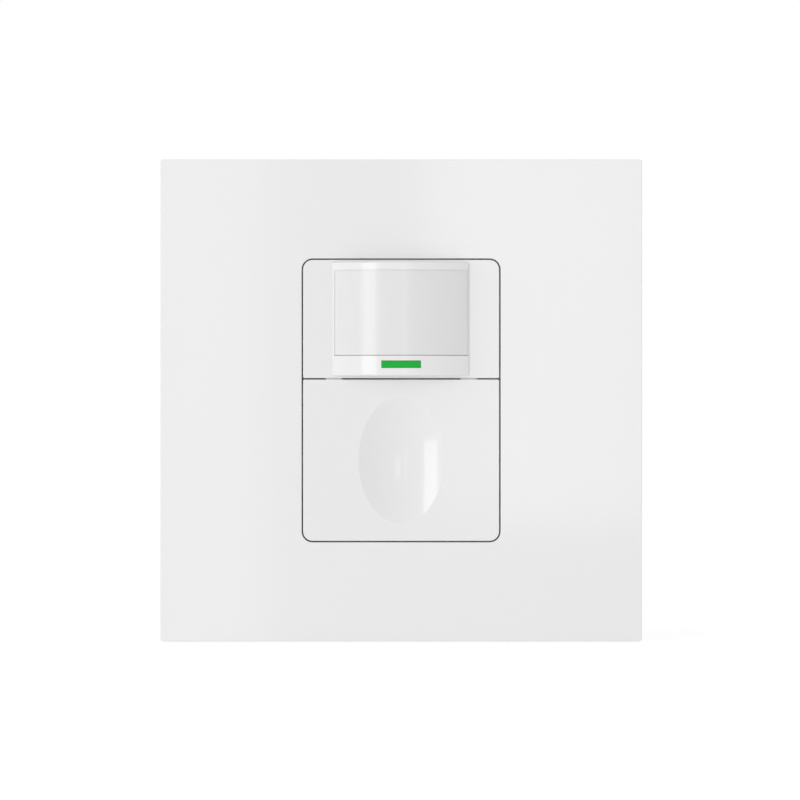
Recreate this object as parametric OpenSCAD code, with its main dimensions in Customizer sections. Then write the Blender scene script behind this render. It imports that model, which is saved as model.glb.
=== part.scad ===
// Motion sensor light switch: a square wall plate with a lens above a push button.
// Modelled lying on its back: x to the right, y up the wall, z out of the wall,
// with the wall's plane at z = 0. Each piece is then stood up so that the front faces -Y.

/* [Cover plate] */
// Side of the square plate
plate_side = 86; // [84:1:94]
// Distance from the wall to the plate's front
plate_depth = 9; // [9:0.5:12]
// Thickness of the plate's front wall
plate_wall = 2; // [1.6:0.1:2.2]
// Thickness of the plate's rim
plate_rim = 1.8; // [1.4:0.1:2.4]
// Corner radius of the plate
plate_corner = 0.5; // [0.3:0.1:3]
// Rounding of the plate's front edge
plate_edge = 0.2; // [0.1:0.1:0.6]
// Wall of the collar behind the plate's opening
collar_wall = 1.4; // [1:0.1:1.8]
// Depth of the collar and of the ribs
collar_depth = 1.2; // [0.8:0.1:1.4]
// Thickness of the ribs behind the plate
rib_t = 1; // [0.8:0.1:1.4]
// Distance of the ribs from the plate's middle
rib_at = 12; // [8:1:15]
// Width of the notch for prising the plate off
notch_w = 8; // [5:0.5:12]
// Height of that notch
notch_h = 1.2; // [0.8:0.1:1.6]

/* [Snap clips] */
// Distance of the clips from the middle, sideways
clip_x = 22; // [18:0.5:26]
// Width of each clip's arm
clip_w = 6; // [4:0.5:8]
// Thickness of each clip's arm
clip_t = 1.4; // [1:0.1:1.8]
// Gap between a clip's arm and its lug
clip_gap = 0.15; // [0.1:0.05:0.25]
// Reach of a clip's nose into its lug's window
nose_reach = 0.9; // [0.6:0.1:1.1]
// Height of a clip's nose
nose_h = 1.4; // [1:0.1:1.6]
// Height of the nose's middle above the wall
nose_z = 4; // [3.7:0.1:4.2]
// Gap around a nose in its window
nose_gap = 0.2; // [0.1:0.05:0.3]

/* [Yoke] */
// Gap between the yoke's sides and the plate's rim
yoke_margin = 3.2; // [2:0.1:4]
// Height of the yoke over its lugs
yoke_h = 70; // [68:0.5:72]
// Thickness of the yoke's sheet
yoke_t = 1.2; // [1:0.1:1.5]
// Corner radius of the yoke
yoke_corner = 4; // [2:0.5:6]
// Inner radius of the bend at each lug
bend_r = 0.6; // [0.4:0.1:0.8]
// Width of each lug
lug_w = 10; // [9:0.5:12]
// Height of the lugs above the wall
lug_top = 6; // [5.8:0.1:6.4]
// Distance between the two wall fixings
fixing_pitch = 60.3; // [60:0.1:61]
// Width of each wall fixing slot
fixing_d = 4.2; // [3.8:0.1:4.6]
// Length of each wall fixing slot
fixing_l = 6.6; // [6:0.1:7]

/* [Housing] */
// Width of the box behind the wall
case_w = 43; // [42:0.5:44]
// Height of the box behind the wall
case_h = 56; // [55:0.5:57]
// Depth of the box behind the wall
case_depth = 27; // [26:0.5:30]
// Wall of the box
case_wall = 2; // [1.6:0.1:2.1]
// Outer corner radius of the box
case_corner = 3; // [2.5:0.1:4]
// Inner corner radius of the box
case_inner_corner = 2; // [1:0.1:2.5]
// Chamfer round the back of the box
case_chamfer = 1.2; // [0.8:0.1:1.6]
// Gap between the box and the yoke's window
case_gap = 0.25; // [0.2:0.05:0.4]
// Reach of the two flanges above and below the box
flange_over = 3; // [2.5:0.1:3.5]
// Corner radius of the flanges
flange_corner = 3.5; // [2:0.5:5]
// Thickness of the housing's flange
case_flange_t = 1.5; // [1.2:0.1:1.6]
// Thickness of the front cover's base
base_t = 1.5; // [1.2:0.1:1.6]

/* [Case screws] */
// Distance of the case screws from the yoke's window
screw_edge = 2.05; // [1.8:0.05:2.2]
// Distance of the case screws from the flanges' side edges
flange_edge = 2.2; // [2:0.1:2.4]
// Distance of the case screws from the middle, upwards
screw_y = 20; // [16:0.5:22]
// Thread diameter of a case screw
screw_d = 2; // [1.8:0.1:2.2]
// Head diameter of a case screw
screw_head_d = 3.8; // [3.4:0.1:4]
// Head height of a case screw
screw_head_h = 1.3; // [1:0.1:1.4]
// Distance of a case screw's end from the wall
screw_short = 0.12; // [0.1:0.01:0.3]
// Radial gap round a case screw's thread
thread_gap = 0.05; // [0.02:0.01:0.1]
// Width of a screw's cross recess
recess_w = 0.6; // [0.4:0.1:0.7]
// Length of a screw's cross recess
recess_l = 2; // [1.6:0.1:2.4]
// Depth of a screw's cross recess
recess_depth = 0.7; // [0.5:0.1:0.8]

/* [Face] */
// Width of the fascia and the button
face_w = 35; // [34:0.1:36]
// Height of the fascia and the button together
face_h = 50.15; // [49.5:0.05:51]
// Corner radius of the face
face_corner = 1.7; // [1.5:0.1:2.5]
// Gap round the face, and between the fascia and the button
seam = 0.25; // [0.2:0.01:0.35]
// Thickness of the face's front wall
face_wall = 1.8; // [1.6:0.1:2]
// Thickness of the fascia's side walls
face_side = 1.6; // [1.2:0.1:1.8]
// Thickness of the fascia's lower wall
face_sill = 1.2; // [0.9:0.1:1.3]

/* [Visor and lens] */
// Width of the visor
visor_w = 24.5; // [24:0.1:25.5]
// Height of the visor
visor_h = 20.3; // [20.2:0.1:20.8]
// Bulge of the visor from its sides to its middle
visor_sag = 3.4; // [3:0.1:4]
// Step of the visor's sides above the fascia
visor_step = 0.2; // [0.1:0.05:1]
// Thickness of the visor's curved wall
visor_wall = 1.2; // [1:0.1:1.4]
// Thickness of the visor's end walls
visor_end = 0.6; // [0.5:0.05:0.7]
// Corner radius of the visor
visor_corner = 0.6; // [0.3:0.1:1]
// Thickness of the visor's side edges beside the lens
visor_side = 0.35; // [0.3:0.05:0.5]
// Fascia that shows above and below the visor
visor_margin = 0.4; // [0.3:0.05:0.6]
// Distance from the visor's top to the lens window
lens_drop = 1.45; // [1.25:0.05:1.6]
// Distance from the visor's bottom to the lens window
lens_sill = 3.6; // [3.4:0.05:3.9]
// Thickness of the lens
lens_t = 0.7; // [0.5:0.1:0.9]
// Depth of the lens below the visor's surface
lens_recess = 0.05; // [0.02:0.01:0.2]
// Height of the flange that holds the lens
lens_lip = 0.5; // [0.4:0.05:0.55]
// Thickness of that flange
lens_lip_t = 0.6; // [0.4:0.1:0.7]
// Gap at the top and the sides of the lens
lens_edge_gap = 0.02; // [0.01:0.01:0.05]
// Gap below the lens
lens_foot_gap = 0.08; // [0.04:0.01:0.12]
// Gap under the flange that holds the lens
lens_gap = 0.05; // [0.03:0.01:0.08]
// Number of lens cells across
lens_columns = 5; // [3:1:6]
// Number of rows of lens cells
lens_rows = 2; // [1:1:3]
// Width of the land between two lens cells
cell_land = 0.5; // [0.5:0.1:0.8]
// Spacing of the ring grooves in a lens cell
groove_pitch = 0.9; // [0.7:0.1:1.2]
// Depth of the ring grooves at their deep side
groove_deep = 0.25; // [0.2:0.01:0.3]
// Depth of the ring grooves at their shallow side
groove_shallow = 0.05; // [0.03:0.01:0.1]
// Wall of the shroud behind the lens
shroud_wall = 0.8; // [0.6:0.1:1]
// Gap between the shroud and the visor's end walls
shroud_gap = 0.1; // [0.05:0.01:0.2]

/* [Indicator] */
// Width of the green bar
bar_w = 7; // [6:0.1:8]
// Height of the green bar
bar_h = 1.3; // [1.1:0.05:1.35]
// Distance from the lens window down to the bar's middle
bar_drop = 1.55; // [1.45:0.05:1.75]
// Gap round the bar in its slot
bar_gap = 0.03; // [0.02:0.01:0.06]
// Reach of the collar at each end of the bar
bar_lip = 1.1; // [0.8:0.1:1.5]
// Thickness of that collar
bar_lip_t = 1; // [0.8:0.1:1.4]
// Gap between the bar and the lamp below it
bar_lamp_gap = 0.3; // [0.2:0.05:0.5]

/* [Button] */
// Thickness of the button's skirt
skirt_t = 1.2; // [1:0.1:1.4]
// Angle of a full press
press_angle = 2; // [1.5:0.1:2.2]
// Room left under the button's skirt at a full press
press_room = 0.3; // [0.2:0.05:0.5]
// Width of the thumb dish
dish_w = 15.2; // [14:0.1:17]
// Height of the thumb dish
dish_h = 22.6; // [20:0.1:24]
// Depth of the thumb dish
dish_depth = 1.4; // [1:0.1:1.6]
// Thickness of the button behind the dish
dish_wall = 1.2; // [1:0.1:1.4]
// Distance of the hinge tabs from the face's sides
tab_edge = 5.45; // [5.2:0.05:5.8]
// Width of the hinge tabs
tab_w = 2.85; // [2.5:0.05:3]
// Depth of the tabs below the face
tab_sink = 0.35; // [0.2:0.05:0.5]
// Gap between a tab and the fascia
tab_gap = 0.05; // [0.03:0.01:0.1]
// Height of the hinge above the button's top edge
hinge_rise = 1.9; // [1.85:0.05:2]
// Depth of the hinge below the face
hinge_drop = 3.1; // [3.05:0.05:3.3]
// Radius of the trunnions
trunnion_r = 1.1; // [0.9:0.05:1.1]
// Length of each trunnion
trunnion_l = 1.2; // [1:0.1:1.3]
// Radial gap round a trunnion
hinge_gap = 0.05; // [0.03:0.01:0.1]
// Wall of the hinge cheeks round a trunnion
cheek_wall = 0.7; // [0.6:0.05:0.75]
// Mouth of a hinge socket as a share of its bore
socket_mouth = 0.8; // [0.7:0.05:0.9]
// Gap between a tab's arm and the parts beside it
arm_gap = 0.2; // [0.15:0.05:0.3]
// Thickness of the guide walls inside the skirt
guide_t = 1; // [0.8:0.1:1.2]
// Gap between the guide walls and the skirt
guide_gap = 0.5; // [0.4:0.1:0.8]
// Distance of the hooks from the middle
hook_x = 6.5; // [5.5:0.5:7]
// Width of the hooks
hook_w = 2.6; // [2:0.2:3]
// Thickness of the hooks
hook_t = 1.2; // [1:0.1:1.4]
// Reach of a hook under the base
hook_reach = 0.9; // [0.7:0.1:1.1]
// Height of a hook's nose
hook_h = 1.3; // [1:0.1:1.5]
// Thickness of a hook at its tip
hook_tip = 0.4; // [0.3:0.1:0.6]
// Distance of the hooks from the button's bottom edge
hook_up = 4.6; // [4.5:0.1:5]
// Gap round a hook in its slot
hook_gap = 0.3; // [0.25:0.05:0.4]
// Gap between a hook and the base at rest
stop_gap = 0.05; // [0.03:0.01:0.1]

/* [Return springs] */
// Distance of the springs from the face's sides
spring_edge = 5.3; // [5:0.1:5.6]
// Distance of the springs from the button's bottom edge
spring_up = 5; // [4.6:0.1:5.2]
// Outer diameter of a spring
spring_d = 4; // [3.6:0.1:4.2]
// Wire diameter of a spring
spring_wire = 0.45; // [0.35:0.05:0.5]
// Turns of a spring
spring_turns = 5; // [4:1:6]
// Depth of the cup that each spring stands in
cup_depth = 3; // [2.5:0.1:3.2]
// Wall and floor of a spring cup
cup_wall = 0.8; // [0.6:0.1:0.9]
// Radial gap round a spring in its cup
cup_gap = 0.25; // [0.2:0.05:0.3]
// Diameter of the peg inside a spring
peg_d = 2.4; // [2:0.1:2.5]
// Length of that peg
peg_l = 1.4; // [1:0.1:1.6]

/* [Push switch] */
// Height of the switch above the middle
tact_y = -1; // [-1.5:0.1:-0.6]
// Side of the switch's body
tact_side = 6; // [5:0.1:6.5]
// Height of the switch's body
tact_h = 3.5; // [3:0.1:3.8]
// Diameter of the plunger
plunger_d = 3.5; // [3:0.1:3.6]
// Height of the plunger above the body
plunger_rise = 1.5; // [1.2:0.1:1.8]
// Depth of the plunger inside the body
plunger_sink = 1.4; // [1:0.1:1.8]
// Radial gap round the plunger
plunger_gap = 0.05; // [0.03:0.01:0.1]
// Room below the plunger
plunger_room = 0.5; // [0.4:0.1:0.8]
// Diameter of the button's post
post_d = 3.6; // [3:0.1:4]
// Gap between the post's round tip and the plunger
post_gap = 0.02; // [0.01:0.01:0.05]
// Gap round the post in the base
post_room = 0.6; // [0.5:0.1:0.9]

/* [Trimmers] */
// Spacing of the three trimmers
trimmer_pitch = 9; // [8.5:0.1:9.4]
// Height of the trimmers above the middle
trimmer_y = -12; // [-12.6:0.1:-11]
// Side of a trimmer's body
trimmer_side = 6.5; // [6:0.1:6.8]
// Height of a trimmer's body
trimmer_h = 3.6; // [3.2:0.1:4]
// Diameter of a dial
dial_d = 5.2; // [4.6:0.1:5.6]
// Height of a dial
dial_h = 1.6; // [1.3:0.1:1.8]
// Gap between a dial and its body
dial_gap = 0.1; // [0.05:0.01:0.2]
// Radial gap round a dial in the base
dial_room = 0.3; // [0.2:0.05:0.4]
// Diameter of a dial's shaft
shaft_d = 2; // [1.6:0.1:2.4]
// Length of a dial's shaft
shaft_l = 2; // [1.6:0.1:2.4]
// Radial gap round a shaft
shaft_gap = 0.05; // [0.03:0.01:0.1]
// Width of a dial's slot
slot_w = 0.8; // [0.6:0.1:1]
// Length of a dial's slot
slot_l = 3.6; // [3:0.1:4]
// Length of the cross slot
slot_cross = 2.4; // [2:0.1:3]
// Depth of a dial's slot
slot_depth = 0.8; // [0.6:0.1:1]

/* [Boards] */
// Thickness of the two circuit boards
board_t = 1.6; // [1.2:0.2:1.8]
// Depth of the control board's front below the wall
control_drop = 2; // [1.8:0.1:2.2]
// Space between the two boards
board_space = 11.8; // [11.4:0.1:12.6]
// Gap between the boards and the box
board_gap = 0.4; // [0.3:0.1:0.5]
// Corner radius of the boards
board_corner = 1; // [0.5:0.1:2]
// Distance of the spacers from the boards' side edges
spacer_x = 2.6; // [2.5:0.1:2.8]
// Distance of the upper spacers from the boards' top edge
spacer_y = 2.8; // [2.6:0.1:3]
// Gap between the lower spacers and the terminals
spacer_gap = 0.6; // [0.4:0.1:1]
// Diameter of the spacers
spacer_d = 4; // [3.6:0.1:4.2]
// Diameter of the spigots that sit in the boards
spigot_d = 2; // [1.6:0.1:2.4]
// Length of the spigots
spigot_l = 1.1; // [0.8:0.1:1.2]
// Radial gap round leads, pins and spigots in the boards
lead_gap = 0.1; // [0.05:0.05:0.2]

/* [Sensors] */
// Diameter of the heat sensor's base
pir_base_d = 9.2; // [9:0.1:9.6]
// Thickness of the heat sensor's base
pir_base_t = 0.9; // [0.7:0.1:1.1]
// Diameter of the heat sensor's can
pir_can_d = 8.2; // [8:0.1:8.4]
// Height of the heat sensor's can
pir_can_h = 3.3; // [3:0.1:3.6]
// Wall of the can
pir_wall = 0.3; // [0.2:0.05:0.4]
// Width of the can's window
pir_window_w = 4; // [3.4:0.1:4.4]
// Height of the can's window
pir_window_h = 3; // [2.6:0.1:3.4]
// Margin of the filter behind the window
filter_margin = 0.5; // [0.4:0.1:0.6]
// Thickness of the filter
filter_t = 0.4; // [0.3:0.05:0.5]
// Diameter of the lead pins
pin_d = 0.5; // [0.4:0.05:0.6]
// Radius of the circle that the pins lie on
pin_ring = 2.54; // [2.4:0.02:2.7]
// Sideways place of the light sensor
eye_x = 7.5; // [7:0.1:8]
// Distance of the light sensor above the shroud's lower wall
eye_up = 2.2; // [2:0.1:2.6]
// Diameter of the light sensor
eye_d = 3; // [2.6:0.1:3.2]
// Height of the light sensor's straight part
eye_h = 2.2; // [1.8:0.1:2.6]
// Width of the indicator lamp
lamp_w = 3.2; // [2.8:0.1:3.4]
// Height of the indicator lamp
lamp_h = 1.6; // [1.4:0.1:1.8]
// Length of each metal end of the indicator lamp
lamp_end = 0.5; // [0.3:0.1:0.7]
// Thickness of those ends
lamp_foot = 0.5; // [0.3:0.1:0.7]
// Thickness of the indicator lamp
lamp_t = 1.1; // [0.9:0.1:1.2]
// Length of the microcontroller
chip_l = 8.7; // [8:0.1:9.2]
// Width of the microcontroller's body
chip_w = 3.9; // [3.6:0.1:4.2]
// Thickness of the microcontroller's body
chip_t = 1.4; // [1.2:0.1:1.6]
// Height of the microcontroller above the middle
chip_y = -17; // [-18:0.5:-15]
// Reach of the microcontroller's legs
chip_leg = 1.05; // [0.9:0.05:1.2]
// Width of the microcontroller's legs
chip_leg_w = 0.42; // [0.35:0.01:0.5]
// Thickness of the microcontroller's legs
chip_leg_t = 0.4; // [0.3:0.05:0.5]
// Gap between the microcontroller's body and the board
chip_stand = 0.2; // [0.1:0.05:0.25]
// Spacing of the microcontroller's legs
chip_pitch = 1.27; // [1.2:0.01:1.3]

/* [Power parts] */
// Length, width and height of the relay
relay_size = [20, 15, 10.5];
// Reach of the lip round the relay's foot
relay_lip = 0.4; // [0.3:0.1:0.6]
// Height of that lip
relay_lip_h = 1; // [0.8:0.1:1.4]
// Corner radius of the relay
relay_corner = 1; // [0.5:0.1:1.5]
// Distances of the relay from the board's left and top edges
relay_edge = [1.6, 6.1];
// Length, width and height of the mains capacitor
film_size = [8, 13, 10.5];
// Corner radius of the mains capacitor
film_corner = 0.8; // [0.4:0.1:1.2]
// Distances of the mains capacitor from the board's right and top edges
film_edge = [2, 6.1];
// Diameter of the smoothing capacitor
can_d = 8; // [7:0.1:8.4]
// Height of the smoothing capacitor
can_h = 10.5; // [9:0.1:11]
// Depth of the crimp round the smoothing capacitor
can_crimp = 0.4; // [0.3:0.1:0.6]
// Height of the middle of that crimp
can_crimp_z = 1.6; // [1.2:0.1:2]
// Gap between the smoothing capacitor and the spacer beside it
can_gap = 0.5; // [0.4:0.1:0.8]
// Height of the smoothing capacitor's middle above the board's bottom edge
can_up = 13.6; // [13:0.1:14]
// Diameter of the inductor
coil_d = 7.6; // [6.5:0.1:8]
// Height of the inductor
coil_h = 8; // [6:0.1:9]
// Thickness of the inductor's flanges
coil_flange = 1.2; // [0.9:0.1:1.5]
// Depth of the inductor's winding below its flanges
coil_inset = 0.6; // [0.4:0.1:1]
// Sideways place of the inductor
coil_x = 2; // [1:0.1:3]
// Gap between the inductor and the relay
coil_gap = 1.5; // [1:0.1:2.5]
// Diameter of the varistor's disc
disc_d = 7.5; // [6.5:0.1:8]
// Thickness of the varistor's disc
disc_t = 3.2; // [2.8:0.1:3.8]
// Spacing of the varistor's leads
disc_pitch = 3.8; // [3:0.1:5]
// Height of the varistor's disc above the board
disc_up = 1.2; // [0.8:0.1:1.6]
// Distance of the varistor from the board's left edge
disc_edge = 3; // [2:0.1:4]
// Gap between the varistor and the relay
disc_gap = 4; // [3:0.1:5]
// Diameter of the fuse's caps
fuse_d = 3.5; // [3:0.1:4]
// Length of the fuse
fuse_l = 9; // [8:0.1:10]
// Step from the fuse's caps down to its tube
fuse_step = 0.2; // [0.1:0.05:0.3]
// Length of each fuse cap
fuse_cap = 1.6; // [1.2:0.1:2]
// Gap between the fuse and the spacer beside it
fuse_gap = 0.75; // [0.5:0.05:1.2]
// Height of the fuse's middle above the board's bottom edge
fuse_up = 13.6; // [13:0.1:14]
// Length, width and height of the rectifier
bridge_size = [6.5, 8.5, 3];
// Spacing of the rectifier's legs
bridge_pitch = 5.6; // [5:0.1:6.5]
// Height of the rectifier's middle above the board's bottom edge
bridge_up = 13.4; // [13:0.1:14]
// Number of pins in the board header
header_pins = 4; // [3:1:5]
// Spacing of the header's pins
header_pitch = 2.54; // [2.5:0.01:2.6]
// Side of the header's strip
header_side = 2.5; // [2.2:0.1:2.6]
// Diameter of the header's pins
header_pin_d = 0.7; // [0.6:0.05:0.8]
// Distance of the header from the board's right edge
header_edge = 2; // [1.5:0.1:3]
// Gap between the header and the mains capacitor
header_gap = 1.5; // [1:0.1:2]
// Reach of the header's and the heat sensor's pins past the boards
pin_reach = 0.5; // [0.3:0.1:0.8]
// Diameter of the wire leads
lead_d = 0.7; // [0.5:0.1:0.8]

/* [Terminals] */
// Spacing of the three terminals
terminal_pitch = 10; // [9.5:0.1:10.4]
// Width of a terminal
terminal_w = 8; // [7.4:0.1:8.4]
// Length of a terminal
terminal_l = 9; // [8:0.1:10]
// Height of a terminal
terminal_h = 8; // [7.8:0.1:8.6]
// Diameter of the wire bore
wire_d = 4; // [3.4:0.1:4.2]
// Distance of the wire bore from the terminal's front
wire_drop = 3; // [2.8:0.1:3.2]
// Diameter of the funnel through the box
funnel_d = 4.8; // [4.6:0.1:5.2]
// Gap between a terminal and the box's bottom wall
terminal_gap = 0.05; // [0.03:0.01:0.1]
// Width of a terminal's solder tab
solder_w = 3; // [2.4:0.1:3.4]
// Thickness of a terminal's solder tab
solder_t = 0.8; // [0.6:0.1:1]
// Reach of a solder tab past the board
solder_reach = 0.6; // [0.4:0.1:0.8]
// Diameter of a terminal screw's thread
clamp_d = 3; // [2.6:0.1:3.2]
// Diameter of a terminal screw's head
clamp_head_d = 5; // [4.6:0.1:5.2]
// Height of a terminal screw's head
clamp_head_h = 1.5; // [1.2:0.1:1.7]
// Radial gap round a terminal screw's head
clamp_room = 0.3; // [0.2:0.05:0.4]
// Width and depth of a terminal screw's slot
clamp_slot = 0.8; // [0.6:0.1:1]

/* [Hidden] */
$fn = 64;
smooth = 128;

// How far a cutting shape runs past the face that it cuts
past = 1;
// How far joined shapes run into each other
weld = 0.5;
// Rings in each turn of a coil, and sides of its wire
coil_steps = 12;
coil_sides = 6;
both = [-1, 1];

// Heights of the stack on the wall
plate_back = plate_depth - plate_wall;
case_top = yoke_t + case_flange_t;
base_top = case_top + base_t;
face_z = plate_depth;
face_back = face_z - face_wall;
control_top = -control_drop;
control_back = control_top - board_t;
power_top = control_back - board_space;
power_back = power_top - board_t;
case_inside = case_wall - case_depth;

// Case screws and flanges
screw_x = case_w / 2 + case_gap + screw_edge;
flange_w = 2 * (screw_x + flange_edge);
flange_h = case_h + 2 * flange_over;

// Outline of the face
opening_w = face_w + 2 * seam;
opening_h = face_h + 2 * seam;
opening_corner = face_corner + seam;
fascia_high = face_h / 2;
fascia_low = fascia_high - visor_h - 2 * visor_margin;
button_low = -face_h / 2;
button_high = fascia_low - seam;
button_mid = (button_low + button_high) / 2;

// Visor and lens, all on one axis that runs up the wall
visor_r = (pow(visor_w / 2, 2) + pow(visor_sag, 2)) / (2 * visor_sag);
visor_axis = face_z + visor_step + visor_sag - visor_r;
visor_mid = (fascia_low + fascia_high) / 2;
visor_low = visor_mid - visor_h / 2;
visor_high = visor_mid + visor_h / 2;
visor_inner_r = visor_r - visor_wall;
lens_w = visor_w - 2 * visor_side;
lens_high = visor_high - lens_drop;
lens_low = visor_low + lens_sill;
lens_mid = (lens_low + lens_high) / 2;
lens_r = visor_r - lens_recess;
lens_inner_r = lens_r - lens_t;
lens_half = lens_w / 2 - lens_edge_gap;
lip_r = visor_inner_r - lens_gap;
lip_inner_r = lip_r - lens_lip_t;
shroud_r = lip_inner_r - lens_gap;
shroud_low = lens_low - lens_lip;
shroud_high = visor_high - visor_end - shroud_gap;
shroud_half = lens_w / 2 - shroud_gap;
bar_y = lens_low - bar_drop;

// Hinge and travel of the button
hinge_y = button_high + hinge_rise;
hinge_z = face_z - hinge_drop;
press_drop = (hinge_y - button_low) * sin(press_angle);
skirt_z = base_top + press_drop + press_room;
guide_top = face_back - press_drop - press_room;
arm_top = face_back - arm_gap;
arm_low = hinge_z - trunnion_r;
cheek_r = trunnion_r + hinge_gap + cheek_wall;
tab_x = face_w / 2 - tab_edge;
hook_y = button_low + hook_up;
spring_x = face_w / 2 - spring_edge;
spring_y = button_low + spring_up;
cup_floor = base_top - cup_depth;

// Torus of the thumb dish: the tube gives its width, the sweep its height
dish_tube_r = (pow(dish_w / 2, 2) + pow(dish_depth, 2)) / (2 * dish_depth);
dish_sweep_r = (pow(dish_h / 2, 2) + pow(dish_depth, 2)) / (2 * dish_depth);

// Push switch
tact_top = control_top + tact_h;
plunger_top = tact_top + plunger_rise;

// Trimmers
trimmer_top = control_top + trimmer_h;
dial_low = trimmer_top + dial_gap;

// Boards
board_w = case_w - 2 * (case_wall + board_gap);
board_h = case_h - 2 * (case_wall + board_gap);
spacer_side = board_w / 2 - spacer_x;
spacer_in = spacer_side - spacer_d / 2;

// Places of the parts on the power board
relay_at = [relay_edge[0] + relay_size[0] / 2 - board_w / 2, board_h / 2 - relay_edge[1] - relay_size[1] / 2];
film_at = [board_w / 2 - film_edge[0] - film_size[0] / 2, board_h / 2 - film_edge[1] - film_size[1] / 2];
relay_low = relay_at[1] - relay_size[1] / 2;
film_low = film_at[1] - film_size[1] / 2;
can_at = [spacer_in - can_gap - can_d / 2, can_up - board_h / 2];
coil_at = [coil_x, relay_low - coil_gap - coil_d / 2];
disc_at = [disc_edge + disc_d / 2 - board_w / 2, relay_low - disc_gap - disc_t / 2];
fuse_at = [fuse_gap + fuse_d / 2 - spacer_in, fuse_up - board_h / 2];
bridge_at = [0, bridge_up - board_h / 2];
header_l = header_pins * header_pitch;
header_at = [board_w / 2 - header_edge - header_side / 2, film_low - header_gap - header_l / 2];

// Heat sensor
pir_base_top = control_top + pir_base_t;
pir_can_top = pir_base_top + pir_can_h;
eye_y = shroud_low + shroud_wall + eye_up;

// Terminals
terminal_low = -case_h / 2 + case_wall + terminal_gap;
terminal_mid = terminal_low + terminal_l / 2;
terminal_back = power_back - terminal_h;
spacer_high = board_h / 2 - spacer_y;
spacer_low = terminal_low + terminal_l + spacer_gap + spacer_d / 2;
wire_z = power_back - wire_drop;
wire_end = wire_z - wire_d / 2;

// Snap lugs of the yoke
yoke_w = plate_side - 2 * (plate_rim + yoke_margin);
lug_y = yoke_h / 2;
bend_outer = bend_r + yoke_t;

// Colours
plate_white = [0.95, 0.95, 0.95];
face_white = [0.93, 0.93, 0.93];
lens_white = [0.9, 0.9, 0.9];
bar_green = [0.16, 0.67, 0.25];
case_grey = [0.82, 0.83, 0.84];
zinc = [0.72, 0.73, 0.75];
steel = [0.62, 0.63, 0.65];
brass = [0.8, 0.65, 0.3];
board_green = [0.1, 0.4, 0.25];
black = [0.12, 0.12, 0.13];
blue = [0.15, 0.3, 0.65];
yellow = [0.85, 0.75, 0.2];

// Stands a piece up: its front turns to -Y and its top to +Z
module on_wall() {
    rotate([90, 0, 0]) children();
}

// Solid between two heights
module slab(z0, z1) {
    translate([0, 0, z0]) linear_extrude(z1 - z0) children();
}

// Box from its low and high limits along each axis
module block(x, y, z) {
    translate([x[0], y[0], z[0]]) cube([x[1] - x[0], y[1] - y[0], z[1] - z[0]]);
}

// Limits of a stretch of a given size round a middle
function span(mid, size) = [mid - size / 2, mid + size / 2];

// Outline in y and z drawn out along x
module along_x(x0, x1) {
    translate([x0, 0, 0]) rotate([90, 0, 90]) linear_extrude(x1 - x0) children();
}

// Outline in x and z drawn out along y
module along_y(y0, y1) {
    translate([0, y1, 0]) rotate([90, 0, 0]) linear_extrude(y1 - y0) children();
}

// Rod along z
module rod(d, z0, z1) {
    translate([0, 0, z0]) cylinder(d = d, h = z1 - z0);
}

// Copies at four places, mirrored about both middle lines
module four_at(x, y) {
    for (sx = both, sy = both)
        translate([sx * x, sy * y, 0]) children();
}

// Rectangle with round corners
module rounded_rect(w, h, r) {
    square([w - 2 * r, h], center = true);
    square([w, h - 2 * r], center = true);
    for (sx = both, sy = both)
        translate([sx * (w / 2 - r), sy * (h / 2 - r)]) circle(r);
}

// Rectangle standing on the axis, with its two upper corners round
module rounded_top(w, h, r) {
    translate([-w / 2, 0]) square([w, h - r]);
    translate([-w / 2 + r, 0]) square([w - 2 * r, h]);
    for (s = both)
        translate([s * (w / 2 - r), h - r]) circle(r);
}

// Cylinder on the axis that the visor and the lens share
module visor_cylinder(r) {
    along_y(visor_low - past, visor_high + past) translate([0, visor_axis]) circle(r, $fn = smooth);
}

// Tube between two radii on the visor's axis
module visor_tube(outer, inner) {
    difference() {
        visor_cylinder(outer);
        visor_cylinder(inner);
    }
}

// Torus of the thumb dish, swollen by a wall
module dish_torus(wall) {
    translate([0, button_mid, face_z - dish_depth + dish_sweep_r])
        rotate([0, 90, 0])
            rotate_extrude($fn = smooth)
                translate([dish_sweep_r - dish_tube_r, 0]) circle(dish_tube_r + wall, $fn = smooth);
}

// Cross recess in a screw's head, cut upwards from z = 0
module cross_recess(w, l) {
    for (a = [0, 90])
        rotate(a) block(span(0, l), span(0, w), [0, past + recess_depth]);
}

// Tube swept along a list of points, each ring turned about the z axis
module swept_coil(d, wire, turns, z0, z1) {
    rings = turns * coil_steps;
    sides = coil_sides;
    mean = (d - wire) / 2;
    points = [for (i = [0:rings], k = [0:sides - 1])
        let (turn = 360 * turns * i / rings, tilt = 360 * k / sides,
             r = mean + wire / 2 * cos(tilt))
        [r * cos(turn), r * sin(turn), z0 + (z1 - z0) * i / rings + wire / 2 * sin(tilt)]];
    walls = [for (i = [0:rings - 1], k = [0:sides - 1])
        let (a = i * sides + k, b = i * sides + (k + 1) % sides)
        each [[a, a + sides, b], [b, a + sides, b + sides]]];
    start = [for (k = [1:sides - 2]) [0, k, k + 1]];
    end = [for (k = [1:sides - 2]) [rings * sides, rings * sides + k + 1, rings * sides + k]];
    polyhedron(points, concat(walls, start, end));
}

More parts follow.
